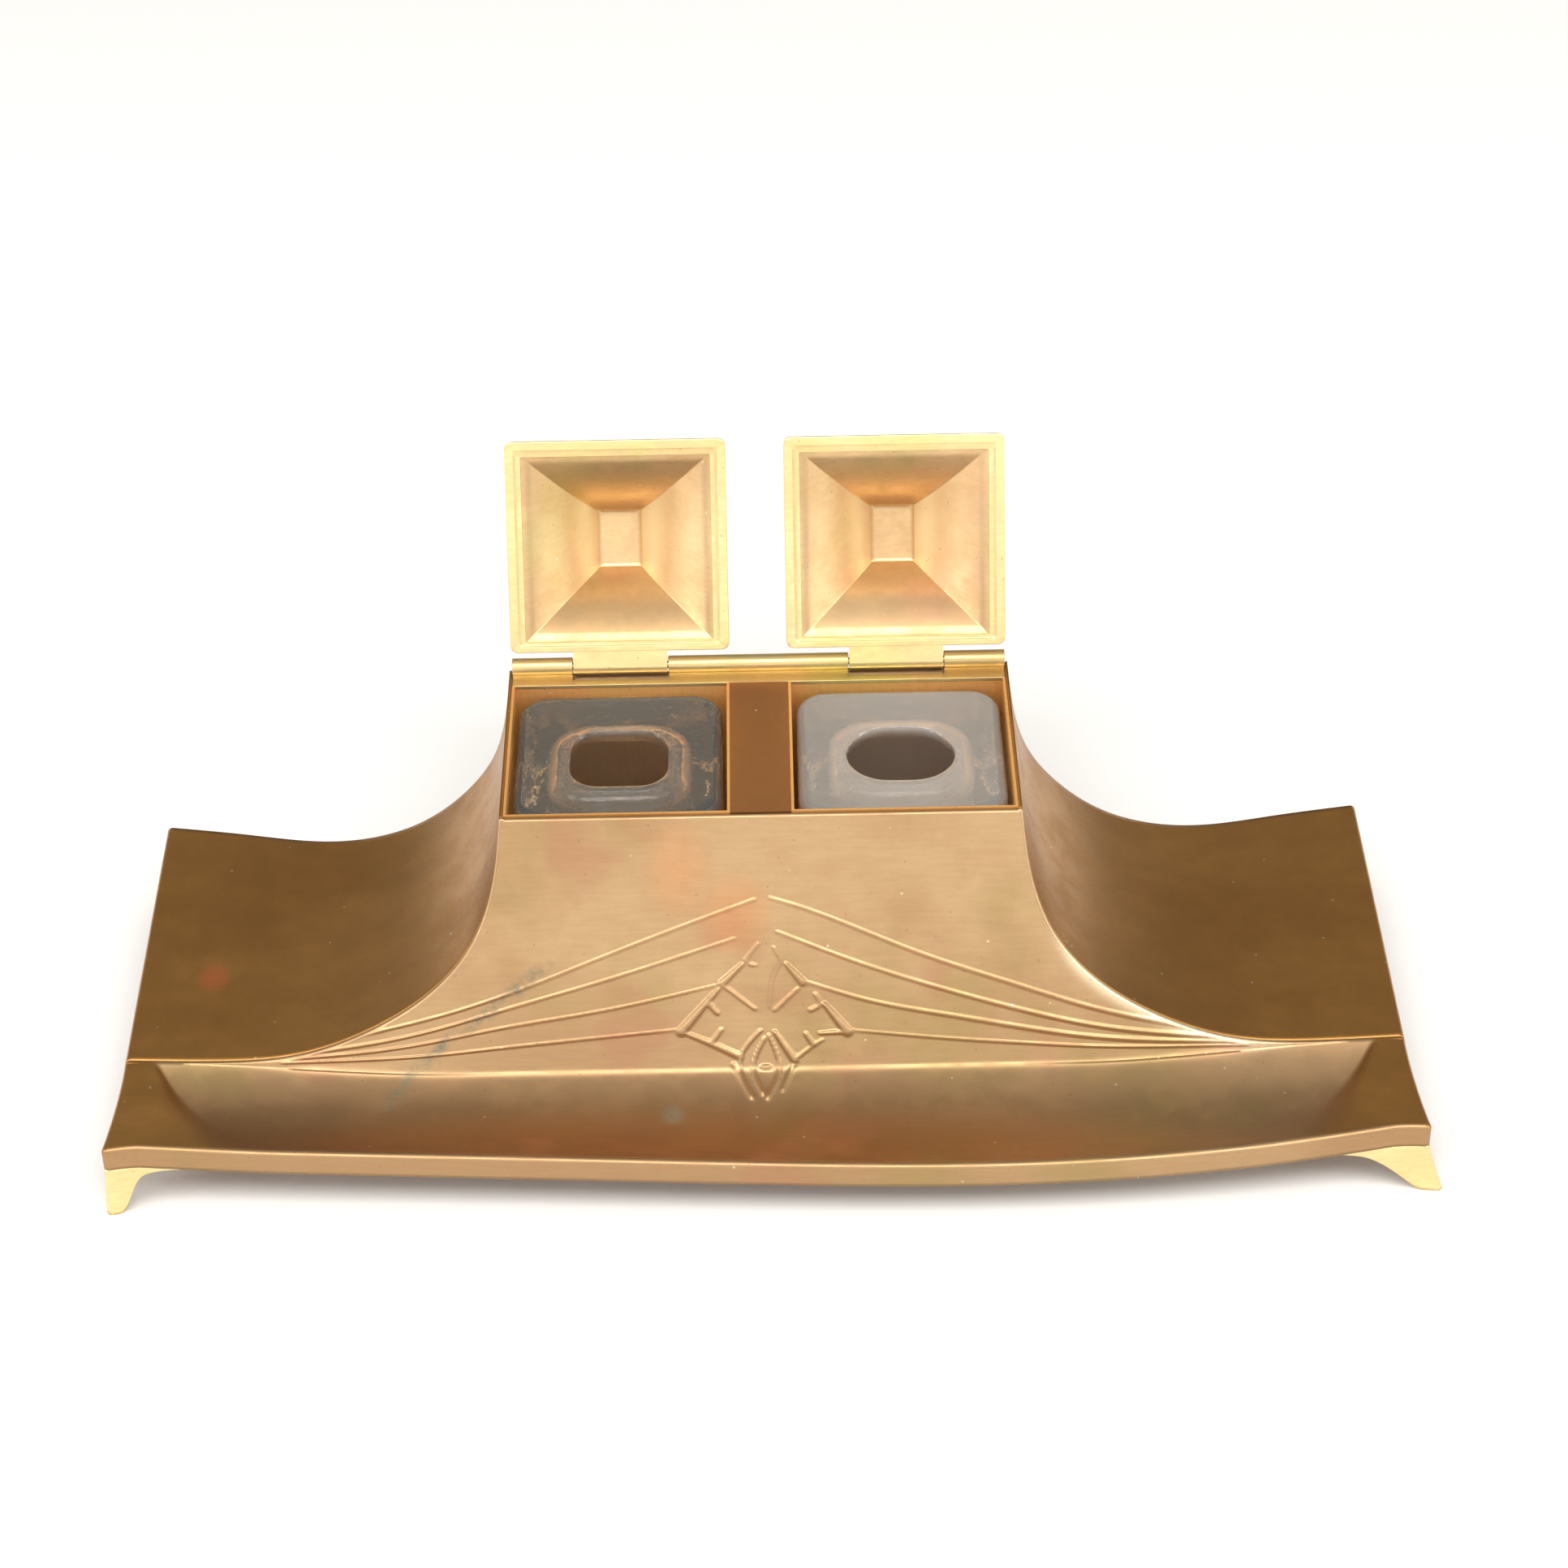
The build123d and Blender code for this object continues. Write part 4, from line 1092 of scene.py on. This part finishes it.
# %% Back plate
plate_line = smooth_curve(rear_section, np.linspace(0, 7, 141))
plate_line = plate_line[plate_line[:, 0] < wing_half - SHEET]
plate_line[:, 1] -= SHEET * 0.8
plate_line[0] = housing_half - SHEET, housing_height - 1.0
lower = np.interp(plate_line[:, 0], [0, LEVEL_X, halfway, wing_half], [8.2, 8.2, 10.6, 13.4])
half_plate = np.array([[(x, back_y, z) for x, z in zip(plate_line[:, 0], levels)]
                       for levels in (plate_line[:, 1], lower)])
plate_grid = np.concatenate([half_plate[:, ::-1] * (-1, 1, 1), half_plate], axis=1)
add_piece("back_sheet", plate_grid.reshape(-1, 3), grid_faces(*plate_grid.shape[:2]), "stand",
          "aged_brass", body_brass, ["back_plate"], facing=(0, 1, 0))

# %% [markdown]
# ## Glass ink pots
# Each pot is a thick block of glass. Its top dishes slightly toward the mouth, square in
# the left pot and oval in the right one, and under it the glass opens into the ink chamber. The
# whole profile, outside and inside, is one stack of rings, because light has to enter and
# leave through real surfaces for glass to look like glass.

# %% Pots
POT_CORNER, POT_FOOT_ROUND, POT_TOP_ROUND = 7.0, 1.2, 2.0
POT_RIM, DISH_CORNER = 3.0, 6.2  # width of the flat rim, corner of the dish
DISH_DEPTH, NECK, SHOULDER = 1.2, 2.5, 5.0
CHAMBER_HALF, CHAMBER_CORNER = 16.5, 11.0
GLASS_FLOOR, FLOOR_ROUND = 6.0, 2.5


def quarter_turn(steps):
    """Sines and cosines on the way round a quarter of a circle."""
    turn = np.linspace(0, math.pi / 2, steps)
    return list(zip(np.sin(turn), np.cos(turn)))


def glass_pot(name, mouth, mouth_corner, material, slot):
    node = f"ink_pot_{name}"
    low, high = low_corner(node), high_corner(node)
    centre = (low + high) / 2
    half = (high - low)[:2] / 2
    floor, top = low[2], high[2]
    mouth, chamber = np.array(mouth), np.full(2, CHAMBER_HALF)
    neck_end = top - DISH_DEPTH - NECK
    rings = []

    def ring(size, radius, level):
        rings.append(rounded_ring(*size, radius, level, centre[:2], 8))

    for sine, cosine in quarter_turn(5):
        inset = POT_FOOT_ROUND * (1 - sine)
        ring(half - inset, POT_CORNER - inset, floor + POT_FOOT_ROUND * (1 - cosine))
    for sine, cosine in quarter_turn(7):
        inset = POT_TOP_ROUND * (1 - cosine)
        ring(half - inset, POT_CORNER - inset, top - POT_TOP_ROUND * (1 - sine))
    ring(half - POT_RIM, DISH_CORNER, top - 0.1)
    for share in np.linspace(0, 1, 14)[1:]:
        size = half - POT_RIM + (mouth + 0.5 - (half - POT_RIM)) * share
        corner = DISH_CORNER + (mouth_corner + 0.5 - DISH_CORNER) * blend(share * 1.3)
        ring(size, corner, top - 0.1 - 0.9 * (1 - (1 - share) ** 1.25))
    ring(mouth, mouth_corner, top - DISH_DEPTH)
    ring(mouth, mouth_corner, neck_end)
    for sine, cosine in quarter_turn(9)[1:]:
        corner = mouth_corner + (CHAMBER_CORNER - mouth_corner) * sine
        ring(mouth + (chamber - mouth) * sine, corner, neck_end - SHOULDER * (1 - cosine))
    ring(chamber, CHAMBER_CORNER, floor + GLASS_FLOOR + FLOOR_ROUND)
    for sine, cosine in quarter_turn(6)[1:]:
        inset = FLOOR_ROUND * (1 - cosine)
        ring(chamber - inset, CHAMBER_CORNER - 1, floor + GLASS_FLOOR + FLOOR_ROUND * (1 - sine))
    points, faces = stacked(rings)
    pot = add_piece(f"glass_pot_{name}", points, faces, f"{name}_pot", slot, material, [node])
    paint(pot, "milk", 0.1 + 0.9 * blend((points_of(pot)[:, 2] - floor - 12) / 14))


glass_pot("left", (10.8, 9.8), 6.5, clear_glass, "clear_glass")
glass_pot("right", (12.0, 9.5), 9.4, cloudy_glass, "cloudy_glass")

low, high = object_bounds()
for axis, *ends in zip("xyz", cad_low, cad_high, low, high):
    print(axis, "solids, then finished:", [round(end / MM, 1) for end in ends])

# %% [markdown]
# ## The solids that stay as they are
# The well boxes, the divider, the hinge pins and the rear feet keep their solids. Each gets
# its finish, and a bevel rounds the edges of all but the pins.

# %% Finishes for the solids
KEPT = {  # finish, and width of the bevel
    "well_box": (amber_brass, 0.12),
    "well_divider": (copper_brown, 0.3),
    "hinge_pin": (wire_brass, 0),
    "foot_rear": (pale_brass, 0.3),
}
for node, piece in frame["nodes"].items():
    for start, (finish, width) in KEPT.items():
        if not node.startswith(start):
            continue
        piece.data.materials.clear()
        piece.data.materials.append(finish)
        if width:
            add_edge(piece, width)
        print(node, "keeps its solid")
